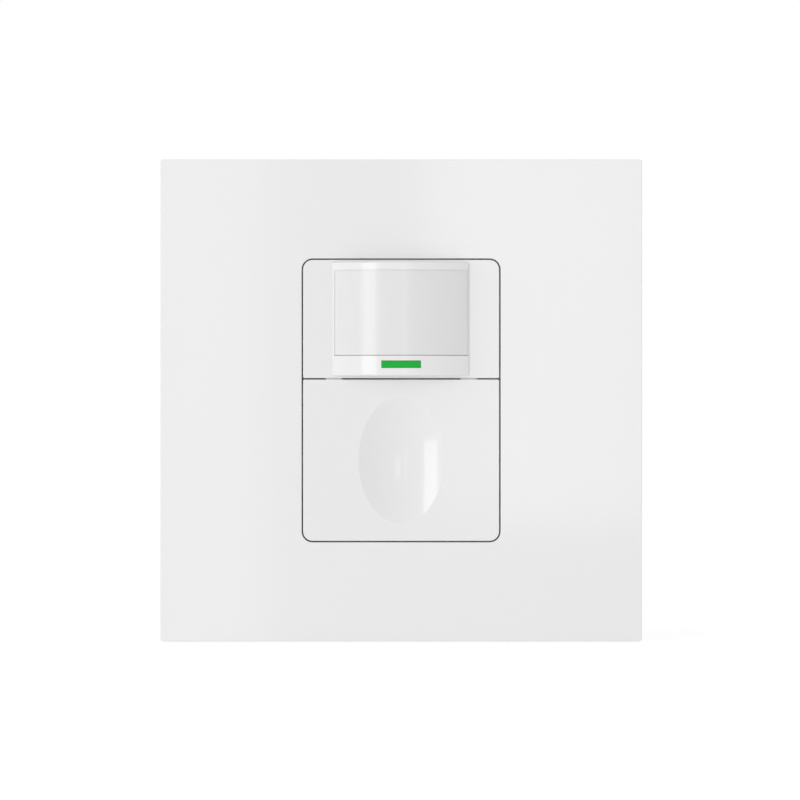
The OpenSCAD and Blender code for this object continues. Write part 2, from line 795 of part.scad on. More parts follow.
// Front plate with rounded front edges, open behind, with collar, ribs and snap clips
module cover_plate() {
    inside = plate_side / 2 - plate_rim;
    collar_x = opening_w / 2 + collar_wall;
    collar_y = opening_h / 2 + collar_wall;
    color(plate_white) on_wall() {
        difference() {
            intersection() {
                slab(0, plate_depth) rounded_rect(plate_side, plate_side, plate_corner);
                along_y(-plate_side, plate_side) rounded_top(plate_side, plate_depth, plate_edge);
                along_x(-plate_side, plate_side) rounded_top(plate_side, plate_depth, plate_edge);
            }
            slab(-past, plate_back) square(2 * inside, center = true);
            slab(0, plate_depth + past) rounded_rect(opening_w, opening_h, opening_corner);
            block(span(0, notch_w), [-plate_side / 2 - past, -inside + past], [-past, notch_h]);
        }
        slab(plate_back - collar_depth, plate_back) difference() {
            rounded_rect(2 * collar_x, 2 * collar_y, opening_corner + collar_wall);
            rounded_rect(opening_w, opening_h, opening_corner);
        }
        for (s = both, at = both * rib_at) {
            block([min(s * collar_x, s * inside), max(s * collar_x, s * inside)],
                span(at, rib_t), [plate_back - collar_depth, plate_back]);
            block(span(at, rib_t), [min(s * collar_y, s * inside), max(s * collar_y, s * inside)],
                [plate_back - collar_depth, plate_back]);
        }
        for (sx = both, turn = [0, 180])
            rotate(turn) translate([sx * clip_x, 0, 0]) snap_clip();
    }
}

// Arm on the outside of a lug, with a ramped nose that catches in the lug's window
module snap_clip() {
    arm_in = lug_y + clip_gap;
    nose_in = arm_in - clip_gap - nose_reach;
    nose_low = nose_z - nose_h / 2;
    nose_high = nose_z + nose_h / 2;
    along_x(-clip_w / 2, clip_w / 2) {
        translate([arm_in, nose_low]) square([clip_t, plate_back - nose_low]);
        polygon([[arm_in, nose_low], [nose_in, nose_z], [nose_in, nose_high], [arm_in, nose_high]]);
    }
}

// Sheet steel yoke: window for the box, wall fixing slots, tapped holes and four bent lugs
module mounting_yoke() {
    flat_h = yoke_h - 2 * bend_outer;
    color(zinc) on_wall() {
        difference() {
            slab(0, yoke_t) rounded_rect(yoke_w, flat_h, yoke_corner);
            slab(-past, yoke_t + past)
                rounded_rect(case_w + 2 * case_gap, case_h + 2 * case_gap, case_corner + case_gap);
            for (s = both)
                translate([s * fixing_pitch / 2, 0, 0]) fixing_slot();
            four_at(screw_x, screw_y) rod(screw_d + 2 * thread_gap, -past, yoke_t + past);
        }
        for (sx = both, turn = [0, 180])
            rotate(turn) translate([sx * clip_x, 0, 0]) lug(flat_h / 2);
    }
}

// Slot for a wall fixing screw
module fixing_slot() {
    run = fixing_l - fixing_d;
    slab(-past, yoke_t + past) {
        square([run, fixing_d], center = true);
        for (s = both)
            translate([s * run / 2, 0]) circle(d = fixing_d);
    }
}

// Lug bent forward from the edge of the flat sheet, with a window for a clip's nose
module lug(edge) {
    window_h = nose_h + 2 * nose_gap;
    difference() {
        along_x(-lug_w / 2, lug_w / 2) {
            intersection() {
                translate([edge, bend_outer]) difference() {
                    circle(bend_outer);
                    circle(bend_r);
                }
                translate([edge, 0]) square([bend_outer, bend_outer]);
            }
            translate([lug_y - yoke_t, bend_outer]) square([yoke_t, lug_top - bend_outer]);
        }
        block(span(0, clip_w + 2 * nose_gap), [edge, lug_y + past], span(nose_z, window_h));
    }
}

// Box behind the wall: flange on the yoke, chamfered back, posts, wire funnels, screw holes
module rear_housing() {
    color(case_grey) on_wall() {
        difference() {
            union() {
                slab(yoke_t, case_top) rounded_rect(flange_w, flange_h, flange_corner);
                intersection() {
                    slab(-case_depth, case_top) rounded_rect(case_w, case_h, case_corner);
                    along_y(-case_h, case_h) chamfered_end(case_w);
                    along_x(-case_w, case_w) chamfered_end(case_h);
                }
            }
            slab(case_inside, case_top + past)
                rounded_rect(case_w - 2 * case_wall, case_h - 2 * case_wall, case_inner_corner);
            for (i = [-1:1])
                translate([i * terminal_pitch, 0, 0]) {
                    along_y(-case_h / 2 - past, terminal_low) translate([0, wire_z]) circle(d = funnel_d);
                    translate([0, terminal_mid, 0])
                        rod(clamp_head_d + 2 * clamp_room, -case_depth - past, case_inside + past);
                }
            four_at(screw_x, screw_y) rod(screw_d + 2 * thread_gap, yoke_t - past, case_top + past);
        }
        spacer_places() rod(spacer_d, case_inside, power_back);
    }
}

// Profile of the box from behind its chamfer to the front of its flange
module chamfered_end(w) {
    half = w / 2;
    polygon([[-half, case_top], [-half, case_chamfer - case_depth], [case_chamfer - half, -case_depth],
        [half - case_chamfer, -case_depth], [half, case_chamfer - case_depth], [half, case_top]]);
}

// Fascia with the curved visor, on a base that carries the button, springs and hinge sockets
module front_cover() {
    fascia_in = face_w / 2 - face_side;
    sill_y = fascia_low + face_sill;
    color(face_white) on_wall() {
        difference() {
            union() {
                slab(case_top, base_top) rounded_rect(flange_w, flange_h, flange_corner);
                intersection() {
                    slab(case_top, face_z) rounded_rect(face_w, face_h, face_corner);
                    block(span(0, face_w), [fascia_low, fascia_high], [case_top, face_z]);
                }
                visor_body();
                button_guides();
                for (s = both)
                    translate([s * spring_x, spring_y, 0])
                        rod(spring_d + 2 * (cup_gap + cup_wall), cup_floor - cup_wall, base_top);
            }
            block([-fascia_in, fascia_in], [sill_y, fascia_high - face_side], [case_top - past, face_back]);
            block(span(0, lens_w), [lens_low, visor_high - visor_end], [case_top - past, face_back]);
            intersection() {
                visor_cylinder(visor_inner_r);
                block(span(0, lens_w), [visor_low + visor_end, visor_high - visor_end],
                    [face_back - past, face_z + visor_r]);
            }
            block(span(0, lens_w), [lens_low, lens_high], [face_back, face_z + visor_r]);
            block(span(0, bar_w + 2 * bar_gap), span(bar_y, bar_h + 2 * bar_gap),
                [face_back, face_z + visor_r]);
            for (s = both)
                arm_window(s * tab_x, sill_y);
            base_holes();
        }
        for (s = both, side = both)
            hinge_cheek(s * tab_x + side * (tab_w / 2 + arm_gap + trunnion_l / 2));
    }
}

// Curved block that stands proud of the fascia
module visor_body() {
    intersection() {
        visor_cylinder(visor_r);
        translate([0, visor_mid, 0]) slab(face_back, face_z + visor_r)
            rounded_rect(visor_w, visor_h, visor_corner);
    }
}

// Low walls inside the button's skirt, on its sides and bottom
module button_guides() {
    half = face_w / 2 - skirt_t - guide_gap;
    low = button_low + skirt_t + guide_gap;
    high = button_high - skirt_t - guide_gap;
    difference() {
        block([-half, half], [low, high], [case_top, guide_top]);
        block([guide_t - half, half - guide_t], [low + guide_t, high + past], [base_top, guide_top + past]);
    }
}

// Way through the fascia's sill for one hinge arm and its trunnions
module arm_window(x, sill_y) {
    half = tab_w / 2 + trunnion_l + 2 * arm_gap;
    block([x - half, x + half], [fascia_low - past, sill_y + past],
        [min(base_top, arm_low - arm_gap), face_back]);
}

// Holes in the base for the screws, the post, the dials, the hooks and the springs
module base_holes() {
    four_at(screw_x, screw_y) rod(screw_d + 2 * thread_gap, case_top - past, base_top + past);
    translate([0, tact_y, 0]) rod(post_d + 2 * post_room, case_top - past, base_top + past);
    for (i = [-1:1])
        trimmer_at(i) rod(dial_d + 2 * dial_room, case_top - past, base_top + past);
    for (s = both) {
        block(span(s * hook_x, hook_w + 2 * hook_gap),
            [hook_y - hook_t / 2 - hook_reach - hook_gap, hook_y + hook_t / 2 + hook_gap],
            [case_top - past, base_top + past]);
        translate([s * spring_x, spring_y, 0]) rod(spring_d + 2 * cup_gap, cup_floor, base_top + past);
    }
}

// Cheek behind the fascia with an open socket for one trunnion
module hinge_cheek(x) {
    socket_r = trunnion_r + hinge_gap;
    mouth = 2 * socket_r * socket_mouth;
    along_x(x - trunnion_l / 2, x + trunnion_l / 2) difference() {
        intersection() {
            union() {
                translate([hinge_y, hinge_z]) circle(cheek_r);
                translate([hinge_y - cheek_r, hinge_z]) square([2 * cheek_r, face_back - hinge_z]);
            }
            translate([fascia_low, hinge_z - cheek_r])
                square([shroud_low - shroud_gap - fascia_low, cheek_r + face_back - hinge_z]);
        }
        translate([hinge_y, hinge_z]) {
            circle(socket_r);
            translate([-cheek_r - past, -mouth / 2]) square([cheek_r + past, mouth]);
        }
    }
}

// Four pan head screws through both flanges into the yoke
module case_screws() {
    color(steel) on_wall() four_at(screw_x, screw_y) difference() {
        union() {
            rod(screw_d, screw_short, base_top);
            intersection() {
                rod(screw_head_d, base_top, base_top + screw_head_h);
                translate([0, 0, base_top + screw_head_h - screw_head_d]) sphere(screw_head_d);
            }
        }
        translate([0, 0, base_top + screw_head_h - recess_depth])
            cross_recess(recess_w, recess_l);
    }
}

// Curved lens: a shallow tray whose upper and lower lips hook behind the visor,
// with ring grooves on its inner side
module fresnel_lens() {
    low = lens_low + lens_foot_gap;
    high = lens_high - lens_edge_gap;
    depth = [face_back, face_z + visor_r];
    color(lens_white) on_wall() difference() {
        union() {
            intersection() {
                visor_tube(lens_r, lip_inner_r);
                block([-lens_half, lens_half], [low, high], depth);
            }
            intersection() {
                visor_tube(lip_r, lip_inner_r);
                block([-lens_half, lens_half], [low - lens_lip, high + lens_lip], depth);
            }
        }
        intersection() {
            visor_cylinder(lens_inner_r);
            block([lens_t - lens_half, lens_half - lens_t], [low + lens_t, high - lens_t], depth);
        }
        lens_cells(low + lens_t, high - lens_t);
    }
}

// Cells of the lens, in columns round the visor's axis and rows along it
module lens_cells(low, high) {
    turn = 2 * asin((lens_half - lens_t) / lens_inner_r) / lens_columns;
    row = (high - low) / lens_rows;
    size = [2 * lens_inner_r * sin(turn / 2) - cell_land, row - cell_land];
    for (i = [0:lens_columns - 1], j = [0:lens_rows - 1])
        translate([0, low + (j + 0.5) * row, visor_axis])
            rotate([0, (i - (lens_columns - 1) / 2) * turn, 0])
                translate([0, 0, lens_inner_r]) ring_grooves(size);
}

// Rings of one lens cell: each groove is steep on its inner side and shallow on its outer side
module ring_grooves(size) {
    rings = ceil(norm(size) / 2 / groove_pitch);
    saw = [for (i = [0:rings - 1])
        each [[i * groove_pitch, groove_deep], [(i + 1) * groove_pitch, groove_shallow]]];
    intersection() {
        rotate_extrude() polygon(concat([[0, -past]], saw, [[rings * groove_pitch, -past]]));
        slab(-past, groove_deep) square(size, center = true);
    }
}

// Square tube from the control board to the back of the lens
module lens_shroud() {
    mid = (shroud_low + shroud_high) / 2;
    size = [2 * shroud_half, shroud_high - shroud_low];
    color(black) on_wall() intersection() {
        visor_cylinder(shroud_r);
        translate([0, mid, 0]) slab(control_top, face_z + visor_r) difference() {
            square(size, center = true);
            square([size[0] - 2 * shroud_wall, size[1] - 2 * shroud_wall], center = true);
        }
    }
}

// Green bar from the lamp to the visor's surface, with a collar behind the slot
module light_pipe() {
    lamp_top = control_top + lamp_t;
    color(bar_green) on_wall() {
        intersection() {
            visor_cylinder(visor_r);
            block(span(0, bar_w), span(bar_y, bar_h), [lamp_top + bar_lamp_gap, face_z + visor_r]);
        }
        intersection() {
            visor_tube(visor_inner_r - bar_gap, visor_inner_r - bar_gap - bar_lip_t);
            block(span(0, bar_w + 2 * bar_lip), span(bar_y, bar_h), [0, face_z + visor_r]);
        }
    }
}

// Hinged paddle with its thumb dish, hinge arms, post, hooks and spring pegs
module push_button() {
    color(face_white) on_wall() {
        difference() {
            union() {
                button_shell();
                intersection() {
                    dish_torus(dish_wall);
                    block(span(0, face_w - 2 * skirt_t), [button_low + skirt_t, button_high - skirt_t],
                        [skirt_z, face_back + weld]);
                }
                translate([0, tact_y, 0]) {
                    rod(post_d, plunger_top + post_gap + post_d / 2, face_back);
                    translate([0, 0, plunger_top + post_gap + post_d / 2]) sphere(d = post_d);
                }
            }
            dish_torus(0);
        }
        for (s = both) {
            hinge_arm(s * tab_x);
            snap_hook(s * hook_x);
            translate([s * spring_x, spring_y, 0]) rod(peg_d, face_back - peg_l, face_back);
        }
    }
}

// Front wall of the button with its skirt
module button_shell() {
    difference() {
        intersection() {
            slab(skirt_z, face_z) rounded_rect(face_w, face_h, face_corner);
            block(span(0, face_w), [button_low, button_high], [skirt_z, face_z]);
        }
        block(span(0, face_w - 2 * skirt_t), [button_low + skirt_t, button_high - skirt_t],
            [skirt_z - past, face_back]);
    }
}

// Arm under the fascia with a trunnion on each side, and the tab that bridges the seam
module hinge_arm(x) {
    tab_high = fascia_low - tab_gap;
    block(span(x, tab_w), [button_high - skirt_t, hinge_y], [arm_low, arm_top]);
    block(span(x, tab_w), [button_high - skirt_t, tab_high], [skirt_z, face_z - tab_sink]);
    along_x(x - tab_w / 2 - arm_gap - trunnion_l, x + tab_w / 2 + arm_gap + trunnion_l)
        translate([hinge_y, hinge_z]) circle(trunnion_r);
}

// Hook that stops the button at rest under the base
module snap_hook(x) {
    arm_low_y = hook_y - hook_t / 2;
    arm_high_y = hook_y + hook_t / 2;
    nose_top = case_top - stop_gap;
    nose_low = nose_top - hook_h;
    tip = arm_high_y + hook_gap + hook_reach;
    along_x(x - hook_w / 2, x + hook_w / 2) {
        translate([arm_low_y, nose_low]) square([hook_t, face_back - nose_low]);
        polygon([[arm_high_y, nose_low], [tip, nose_top - hook_tip], [tip, nose_top],
            [arm_high_y, nose_top]]);
    }
}

// Two coil springs between the cups in the base and the button
module button_springs() {
    color(steel) on_wall() for (s = both)
        translate([s * spring_x, spring_y, 0])
            swept_coil(spring_d, spring_wire, spring_turns,
                cup_floor + spring_wire / 2, face_back - spring_wire / 2);
}

// Body of the push switch
module tact_switch() {
    color(black) on_wall() translate([0, tact_y, 0]) difference() {
        slab(control_top, tact_top) square(tact_side, center = true);
        rod(plunger_d + 2 * plunger_gap, tact_top - plunger_sink - plunger_room, tact_top + past);
    }
}

// Plunger that the button's post pushes in
module tact_plunger() {
    color(black) on_wall() translate([0, tact_y, 0]) rod(plunger_d, tact_top - plunger_sink, plunger_top);
}

// Places of the four spacers, the lower two above the terminals
module spacer_places() {
    for (sx = both, y = [spacer_low, spacer_high])
        translate([sx * spacer_side, y, 0]) children();
}

// Outline of a board with the holes for the spacers' spigots and the header's pins
module board(z0) {
    difference() {
        slab(z0, z0 + board_t) rounded_rect(board_w, board_h, board_corner);
        spacer_places() rod(spigot_d + 2 * lead_gap, z0 - past, z0 + board_t + past);
        header_row() rod(header_pin_d + 2 * lead_gap, z0 - past, z0 + board_t + past);
    }
}

// Board behind the lens and the button
module control_board() {
    color(board_green) on_wall() difference() {
        board(control_back);
        pir_pins() rod(pin_d + 2 * lead_gap, control_back - past, control_top + past);
    }
}

// Places of the heat sensor's three pins
module pir_pins() {
    translate([0, lens_mid, 0])
        for (a = [0:90:180])
            rotate(a) translate([pin_ring, 0, 0]) children();
}

// Places of the header's pins
module header_row() {
    for (i = [0:header_pins - 1])
        translate([header_at[0], header_at[1] + (i - (header_pins - 1) / 2) * header_pitch, 0]) children();
}

// Base of the heat sensor with its pins through the board
module pir_base() {
    color(steel) on_wall() {
        translate([0, lens_mid, 0]) rod(pir_base_d, control_top, pir_base_top);
        pir_pins() rod(pin_d, control_back - pin_reach, control_top);
    }
}

// Metal can of the heat sensor, with the window in its front
module pir_can() {
    color(zinc) on_wall() translate([0, lens_mid, 0]) difference() {
        union() {
            rod(pir_can_d, pir_base_top, pir_can_top);
            rod(pir_base_d, pir_base_top, pir_base_top + pir_wall);
        }
        rod(pir_can_d - 2 * pir_wall, pir_base_top - past, pir_can_top - pir_wall);
        slab(pir_base_top, pir_can_top + past) square([pir_window_w, pir_window_h], center = true);
    }
}

// Dark filter behind the can's window
module pir_filter() {
    top = pir_can_top - pir_wall;
    color(black) on_wall() translate([0, lens_mid, 0]) slab(top - filter_t, top)
        square([pir_window_w + 2 * filter_margin, pir_window_h + 2 * filter_margin], center = true);
}

// Domed light sensor inside the shroud
module light_sensor() {
    color(yellow) on_wall() translate([eye_x, eye_y, 0]) {
        rod(eye_d, control_top, control_top + eye_h);
        translate([0, 0, control_top + eye_h]) sphere(d = eye_d);
    }
}

// Lamp below the green bar
module indicator_led() {
    color(lens_white) on_wall() {
        block(span(0, lamp_w), span(bar_y, lamp_h), [control_top, control_top + lamp_foot]);
        block(span(0, lamp_w - 2 * lamp_end), span(bar_y, lamp_h), [control_top, control_top + lamp_t]);
    }
}

// Chip with two rows of legs on the back of the control board
module microcontroller() {
    legs = floor(chip_l / chip_pitch);
    foot = control_back - chip_stand;
    color(black) on_wall() translate([0, chip_y, 0]) {
        block(span(0, chip_l), span(0, chip_w), [foot - chip_t, foot]);
        for (i = [0:legs - 1])
            translate([(i - (legs - 1) / 2) * chip_pitch, 0, 0])
                block(span(0, chip_leg_w), span(0, chip_w + 2 * chip_leg),
                    [control_back - chip_leg_t, control_back]);
    }
}

// Places of the three trimmers
module trimmer_at(i) {
    translate([i * trimmer_pitch, trimmer_y, 0]) children();
}

// Bodies of the three trimmers
module trimmer_bodies() {
    color(blue) on_wall() for (i = [-1:1])
        trimmer_at(i) difference() {
            slab(control_top, trimmer_top) square(trimmer_side, center = true);
            rod(shaft_d + 2 * shaft_gap, dial_low - shaft_l - dial_gap, trimmer_top + past);
        }
}

// Slotted dial with its shaft
module dial(i) {
    dial_top = dial_low + dial_h;
    color(face_white) on_wall() trimmer_at(i) difference() {
        union() {
            rod(dial_d, dial_low, dial_top);
            rod(shaft_d, dial_low - shaft_l, dial_low);
        }
        slab(dial_top - slot_depth, dial_top + past) {
            square([slot_w, slot_l], center = true);
            square([slot_cross, slot_w], center = true);
        }
    }
}

// Dial that sets how long the light stays on
module time_dial() {
    dial(-1);
}

// Dial that sets the light level
module light_dial() {
    dial(0);
}

// Dial that sets the range
module range_dial() {
    dial(1);
}

// Spacers between the boards, with a spigot at each end
module board_spacers() {
    color(face_white) on_wall() spacer_places() {
        rod(spacer_d, power_top, control_back);
        rod(spigot_d, power_top - spigot_l, control_back + spigot_l);
    }
}

// Strip of pins that joins the boards
module board_header() {
    color(black) on_wall() {
        block(span(header_at[0], header_side), span(header_at[1], header_l),
            [power_top, power_top + header_side]);
        header_row() rod(header_pin_d, power_back - pin_reach, control_top + pin_reach);
    }
}

// Board that carries the relay and the terminals
module power_board() {
    color(board_green) on_wall() difference() {
        board(power_back);
        for (i = [-1:1])
            block(span(i * terminal_pitch, solder_w + 2 * lead_gap),
                span(terminal_mid, solder_t + 2 * lead_gap), [power_back - past, power_top + past]);
    }
}

// Case of the relay, with a lip round its foot
module relay() {
    color(black) on_wall() translate([relay_at[0], relay_at[1], power_top]) {
        slab(0, relay_lip_h) square([relay_size[0], relay_size[1]], center = true);
        slab(0, relay_size[2])
            rounded_rect(relay_size[0] - 2 * relay_lip, relay_size[1] - 2 * relay_lip, relay_corner);
    }
}

// Boxed film capacitor across the mains
module mains_capacitor() {
    color(yellow) on_wall() translate([film_at[0], film_at[1], power_top])
        slab(0, film_size[2]) rounded_rect(film_size[0], film_size[1], film_corner);
}

// Round smoothing capacitor with its crimped foot
module smoothing_capacitor() {
    r = can_d / 2;
    waist = r - can_crimp;
    color(black) on_wall() translate([can_at[0], can_at[1], power_top]) rotate_extrude()
        polygon([[0, 0], [r, 0], [r, can_crimp_z - can_crimp], [waist, can_crimp_z],
            [r, can_crimp_z + can_crimp], [r, can_h - can_crimp], [waist, can_h], [0, can_h]]);
}

// Drum shaped inductor
module inductor() {
    r = coil_d / 2;
    wound = r - coil_inset;
    color(black) on_wall() translate([coil_at[0], coil_at[1], power_top]) rotate_extrude()
        polygon([[0, 0], [r, 0], [r, coil_flange], [wound, coil_flange], [wound, coil_h - coil_flange],
            [r, coil_h - coil_flange], [r, coil_h], [0, coil_h]]);
}

// Disc varistor on two leads
module varistor() {
    z = power_top + disc_up + disc_d / 2;
    color(blue) on_wall() translate([disc_at[0], disc_at[1], 0]) {
        along_y(-disc_t / 2, disc_t / 2) translate([0, z]) circle(d = disc_d);
        for (s = both)
            translate([s * disc_pitch / 2, 0, 0]) rod(lead_d, power_top, z);
    }
}

// Fuse lying on the board, with a lead at each cap
module fuse() {
    z = power_top + fuse_d;
    color(zinc) on_wall() translate([fuse_at[0], fuse_at[1], 0]) {
        along_y(-fuse_l / 2, fuse_l / 2) translate([0, z]) circle(d = fuse_d - 2 * fuse_step);
        for (s = both)
            translate([0, s * (fuse_l - fuse_cap) / 2, 0]) {
                along_y(-fuse_cap / 2, fuse_cap / 2) translate([0, z]) circle(d = fuse_d);
                rod(lead_d, power_top, z);
            }
    }
}

// Four legged rectifier
module rectifier() {
    color(black) on_wall() translate([bridge_at[0], bridge_at[1], power_top]) {
        slab(lead_d, bridge_size[2]) square([bridge_size[0], bridge_size[1]], center = true);
        for (sx = both, sy = both)
            translate([sx * bridge_size[0] / 2, sy * bridge_pitch / 2, 0])
                slab(0, lead_d + weld) square(lead_d, center = true);
    }
}

// Brass terminals with a wire bore, a tapped hole and a solder tab
module terminals() {
    color(brass) on_wall() for (i = [-1:1])
        translate([i * terminal_pitch, 0, 0]) {
            difference() {
                block(span(0, terminal_w), span(terminal_mid, terminal_l), [terminal_back, power_back]);
                along_y(terminal_low - past, terminal_low + terminal_l + past)
                    translate([0, wire_z]) circle(d = wire_d);
                translate([0, terminal_mid, 0]) rod(clamp_d + 2 * thread_gap, terminal_back - past, wire_z);
            }
            block(span(0, solder_w), span(terminal_mid, solder_t),
                [power_back - solder_t, power_top + solder_reach]);
        }
}

// Clamp screws in the terminals, reached from behind
module terminal_screws() {
    head_back = terminal_back - clamp_head_h;
    color(steel) on_wall() for (i = [-1:1])
        translate([i * terminal_pitch, terminal_mid, 0]) difference() {
            union() {
                rod(clamp_head_d, head_back, terminal_back);
                rod(clamp_d, terminal_back, wire_end - thread_gap);
            }
            block(span(0, clamp_head_d + past), span(0, clamp_slot),
                [head_back - past, head_back + clamp_slot]);
        }
}

cover_plate();
mounting_yoke();
rear_housing();
front_cover();
case_screws();
fresnel_lens();
lens_shroud();
light_pipe();
push_button();
button_springs();
tact_switch();
tact_plunger();
control_board();
pir_base();
pir_can();
pir_filter();
light_sensor();
indicator_led();
microcontroller();
trimmer_bodies();
time_dial();
light_dial();
range_dial();
board_spacers();
board_header();
power_board();
relay();
mains_capacitor();
smoothing_capacitor();
inductor();
varistor();
fuse();
rectifier();
terminals();
terminal_screws();
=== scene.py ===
"""Motion sensor light switch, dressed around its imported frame.

A white wall plate holds a fascia with a bowed visor, a milky Fresnel lens and a green
indicator bar, and below it a hinged push button with a thumb dish. Behind the plate are
the steel yoke, the grey wall box and the electronics.
"""

from contextlib import contextmanager
from math import asin, cos, hypot, pi, radians, sin

import bmesh
import bpy
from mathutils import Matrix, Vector


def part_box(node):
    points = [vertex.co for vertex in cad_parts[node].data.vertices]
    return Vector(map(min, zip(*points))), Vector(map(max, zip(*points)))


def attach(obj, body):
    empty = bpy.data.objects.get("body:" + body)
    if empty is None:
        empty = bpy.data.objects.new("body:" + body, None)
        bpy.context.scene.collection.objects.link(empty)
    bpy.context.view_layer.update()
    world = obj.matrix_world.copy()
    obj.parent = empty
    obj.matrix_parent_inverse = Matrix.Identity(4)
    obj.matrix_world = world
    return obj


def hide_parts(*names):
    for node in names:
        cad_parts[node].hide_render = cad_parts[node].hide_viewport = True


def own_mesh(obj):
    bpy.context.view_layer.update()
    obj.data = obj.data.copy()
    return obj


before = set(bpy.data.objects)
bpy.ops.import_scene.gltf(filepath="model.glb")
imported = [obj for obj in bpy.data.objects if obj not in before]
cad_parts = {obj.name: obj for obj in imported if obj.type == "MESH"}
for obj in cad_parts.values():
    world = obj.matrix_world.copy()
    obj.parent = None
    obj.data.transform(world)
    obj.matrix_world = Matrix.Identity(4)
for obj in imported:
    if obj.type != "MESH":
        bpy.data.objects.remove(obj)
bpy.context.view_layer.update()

bl_info = {
    "name": "Motion sensor light switch",
    "version": (1, 0, 0),
    "blender": (4, 5, 0),
    "location": "3D View > Sidebar > Switch",
    "description": "Models and finishes a motion sensor light switch and sets up its studio",
    "category": "Object",
}

MM = 0.001
X, Y, Z = 0, 1, 2
SIDES = (-1, 1)

# How near two places are the same when edges are picked or points merged
NEAR = 0.004 * MM
# How near a point counts as lying on a cutting plane
ON_PLANE = 0.0001 * MM
# How far a piece reaches into the one that it is united with, or a cutter past a face
REACH = 0.1 * MM

# Steps of a bowed front
BOW_STEPS = 32
# Steps of a rounded corner, a small corner, an edge on an outline, an edge at a seam and a fine edge
CORNER_STEPS = 8
SMALL_CORNER_STEPS = 5
OUTLINE_STEPS = 4
SEAM_STEPS = 3
FINE_STEPS = 2
# Degrees past which a turn of the surface is an edge, and under which it is flat
CREASE = 40
FLAT = 1
# Share of a face's normal past which the face counts as pointing along an axis
FACING = 0.5

WHITE = (1.0, 1.0, 1.0, 1.0)

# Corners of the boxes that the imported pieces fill
PLATE_LOW, PLATE_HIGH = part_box("cover_plate")
BUTTON_LOW, BUTTON_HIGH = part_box("push_button")
PIPE_LOW, PIPE_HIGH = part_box("light_pipe")
SPRINGS_LOW, SPRINGS_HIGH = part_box("button_springs")
LUG_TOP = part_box("mounting_yoke")[1].z
FACE_FRONT = BUTTON_LOW.y
VISOR_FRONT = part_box("front_cover")[0].y


def linear(hex_code):
    """Turns an sRGB hex value into a linear colour with full alpha."""
    channels = [int(hex_code[i:i + 2], 16) / 255 for i in (1, 3, 5)]
    return [c / 12.92 if c <= 0.04045 else ((c + 0.055) / 1.055) ** 2.4 for c in channels] + [1.0]


def length(name, description, millimetres):
    """A size that a user may change, given in millimetres."""
    return bpy.props.FloatProperty(
        name=name, description=description, default=millimetres * MM, min=0.0, precision=5, unit="LENGTH")


def colour(name, description, hex_code):
    """A colour that a user may change, given as an sRGB hex value."""
    return bpy.props.FloatVectorProperty(
        name=name, description=description, default=linear(hex_code), size=4, min=0.0, max=1.0,
        subtype="COLOR")


class PlateSizes(bpy.types.PropertyGroup):
    """Sizes of the cover plate"""
    corner: length("Corner radius", "Radius of the plate's corners, seen from the front", 0.5)
    edge: length("Edge rounding", "Rounding of the plate's front edge", 0.12)
    wall: length("Wall", "Thickness of the plate's front wall", 2)
    rim: length("Rim", "Thickness of the plate's side walls", 1.8)
    lip: length("Opening edge", "Rounding of the opening's front edge", 0.08)
    collar_wall: length("Collar wall", "Thickness of the collar behind the opening", 1.4)
    collar_depth: length("Collar depth", "Depth of the collar and the ribs", 1.2)
    rib: length("Rib", "Thickness of the stiffening ribs", 1)
    rib_at: length("Rib place", "Distance of the ribs from the middle", 12)
    notch_width: length("Notch width", "Width of the pry notch in the bottom edge", 8)
    notch_depth: length("Notch depth", "Depth of the pry notch", 1.2)
    clip_at: length("Clip place", "Distance of the snap clips from the middle", 22)
    clip_width: length("Clip width", "Width of a snap clip", 6)
    clip_wall: length("Clip wall", "Thickness of a snap clip's arm", 1.4)
    clip_gap: length("Clip gap", "Gap between a clip's arm and the yoke's lug", 0.15)
    nose_at: length("Nose place", "Distance of a clip's nose from the wall", 4)
    nose_height: length("Nose height", "Height of a clip's nose", 1.4)
    nose_reach: length("Nose reach", "How far a clip's nose reaches into the lug", 0.9)


class FaceSizes(bpy.types.PropertyGroup):
    """Sizes of the fascia, the visor and the push button"""
    height: length("Face height", "Height of the fascia and the button together", 50.15)
    seam: length("Seam", "Gap round the face, and between fascia and button", 0.25)
    split: length("Split height", "Height of the seam between fascia and button above the middle", 3.85)
    corner: length("Corner radius", "Radius of the face's outer corners", 1.7)
    split_corner: length("Split corner radius", "Radius of the corners at the split", 0.3)
    edge: length("Edge rounding", "Rounding of the face's front edges", 0.12)
    wall: length("Wall", "Thickness of the face's front wall", 1.8)
    visor_width: length("Visor width", "Width of the bowed visor", 24.5)
    visor_margin: length("Visor margin", "Fascia that shows above and below the visor", 0.4)
    visor_bulge: length("Visor bulge", "Bulge of the visor from its sides to its middle", 3.4)
    visor_corner: length("Visor corner radius", "Radius of the visor's corners", 0.6)
    visor_edge: length("Visor edge", "Rounding of the visor's front edges", 0.3)
    visor_wall: length("Visor wall", "Thickness of the visor's curved wall", 1.2)
    visor_end: length("Visor end", "Thickness of the visor's end walls", 0.6)
    window_side: length("Window side", "Visor that shows beside the lens", 0.35)
    window_drop: length("Window drop", "Visor that shows above the lens", 1.45)
    window_sill: length("Window sill", "Visor that shows below the lens", 3.6)
    bar_gap: length("Bar gap", "Gap round the indicator bar", 0.03)
    dish_width: length("Dish width", "Width of the button's thumb dish", 15.2)
    dish_height: length("Dish height", "Height of the button's thumb dish", 22.6)
    dish_depth: length("Dish depth", "Depth of the button's thumb dish", 1.4)
    tab_width: length("Tab width", "Width of a hinge tab in the seam", 2.85)
    tab_edge: length("Tab place", "Distance of a tab's middle from the face's side", 5.45)
    tab_sink: length("Tab sink", "Depth of a tab below the face", 0.35)
    tab_gap: length("Tab gap", "Gap between a tab and the fascia", 0.05)


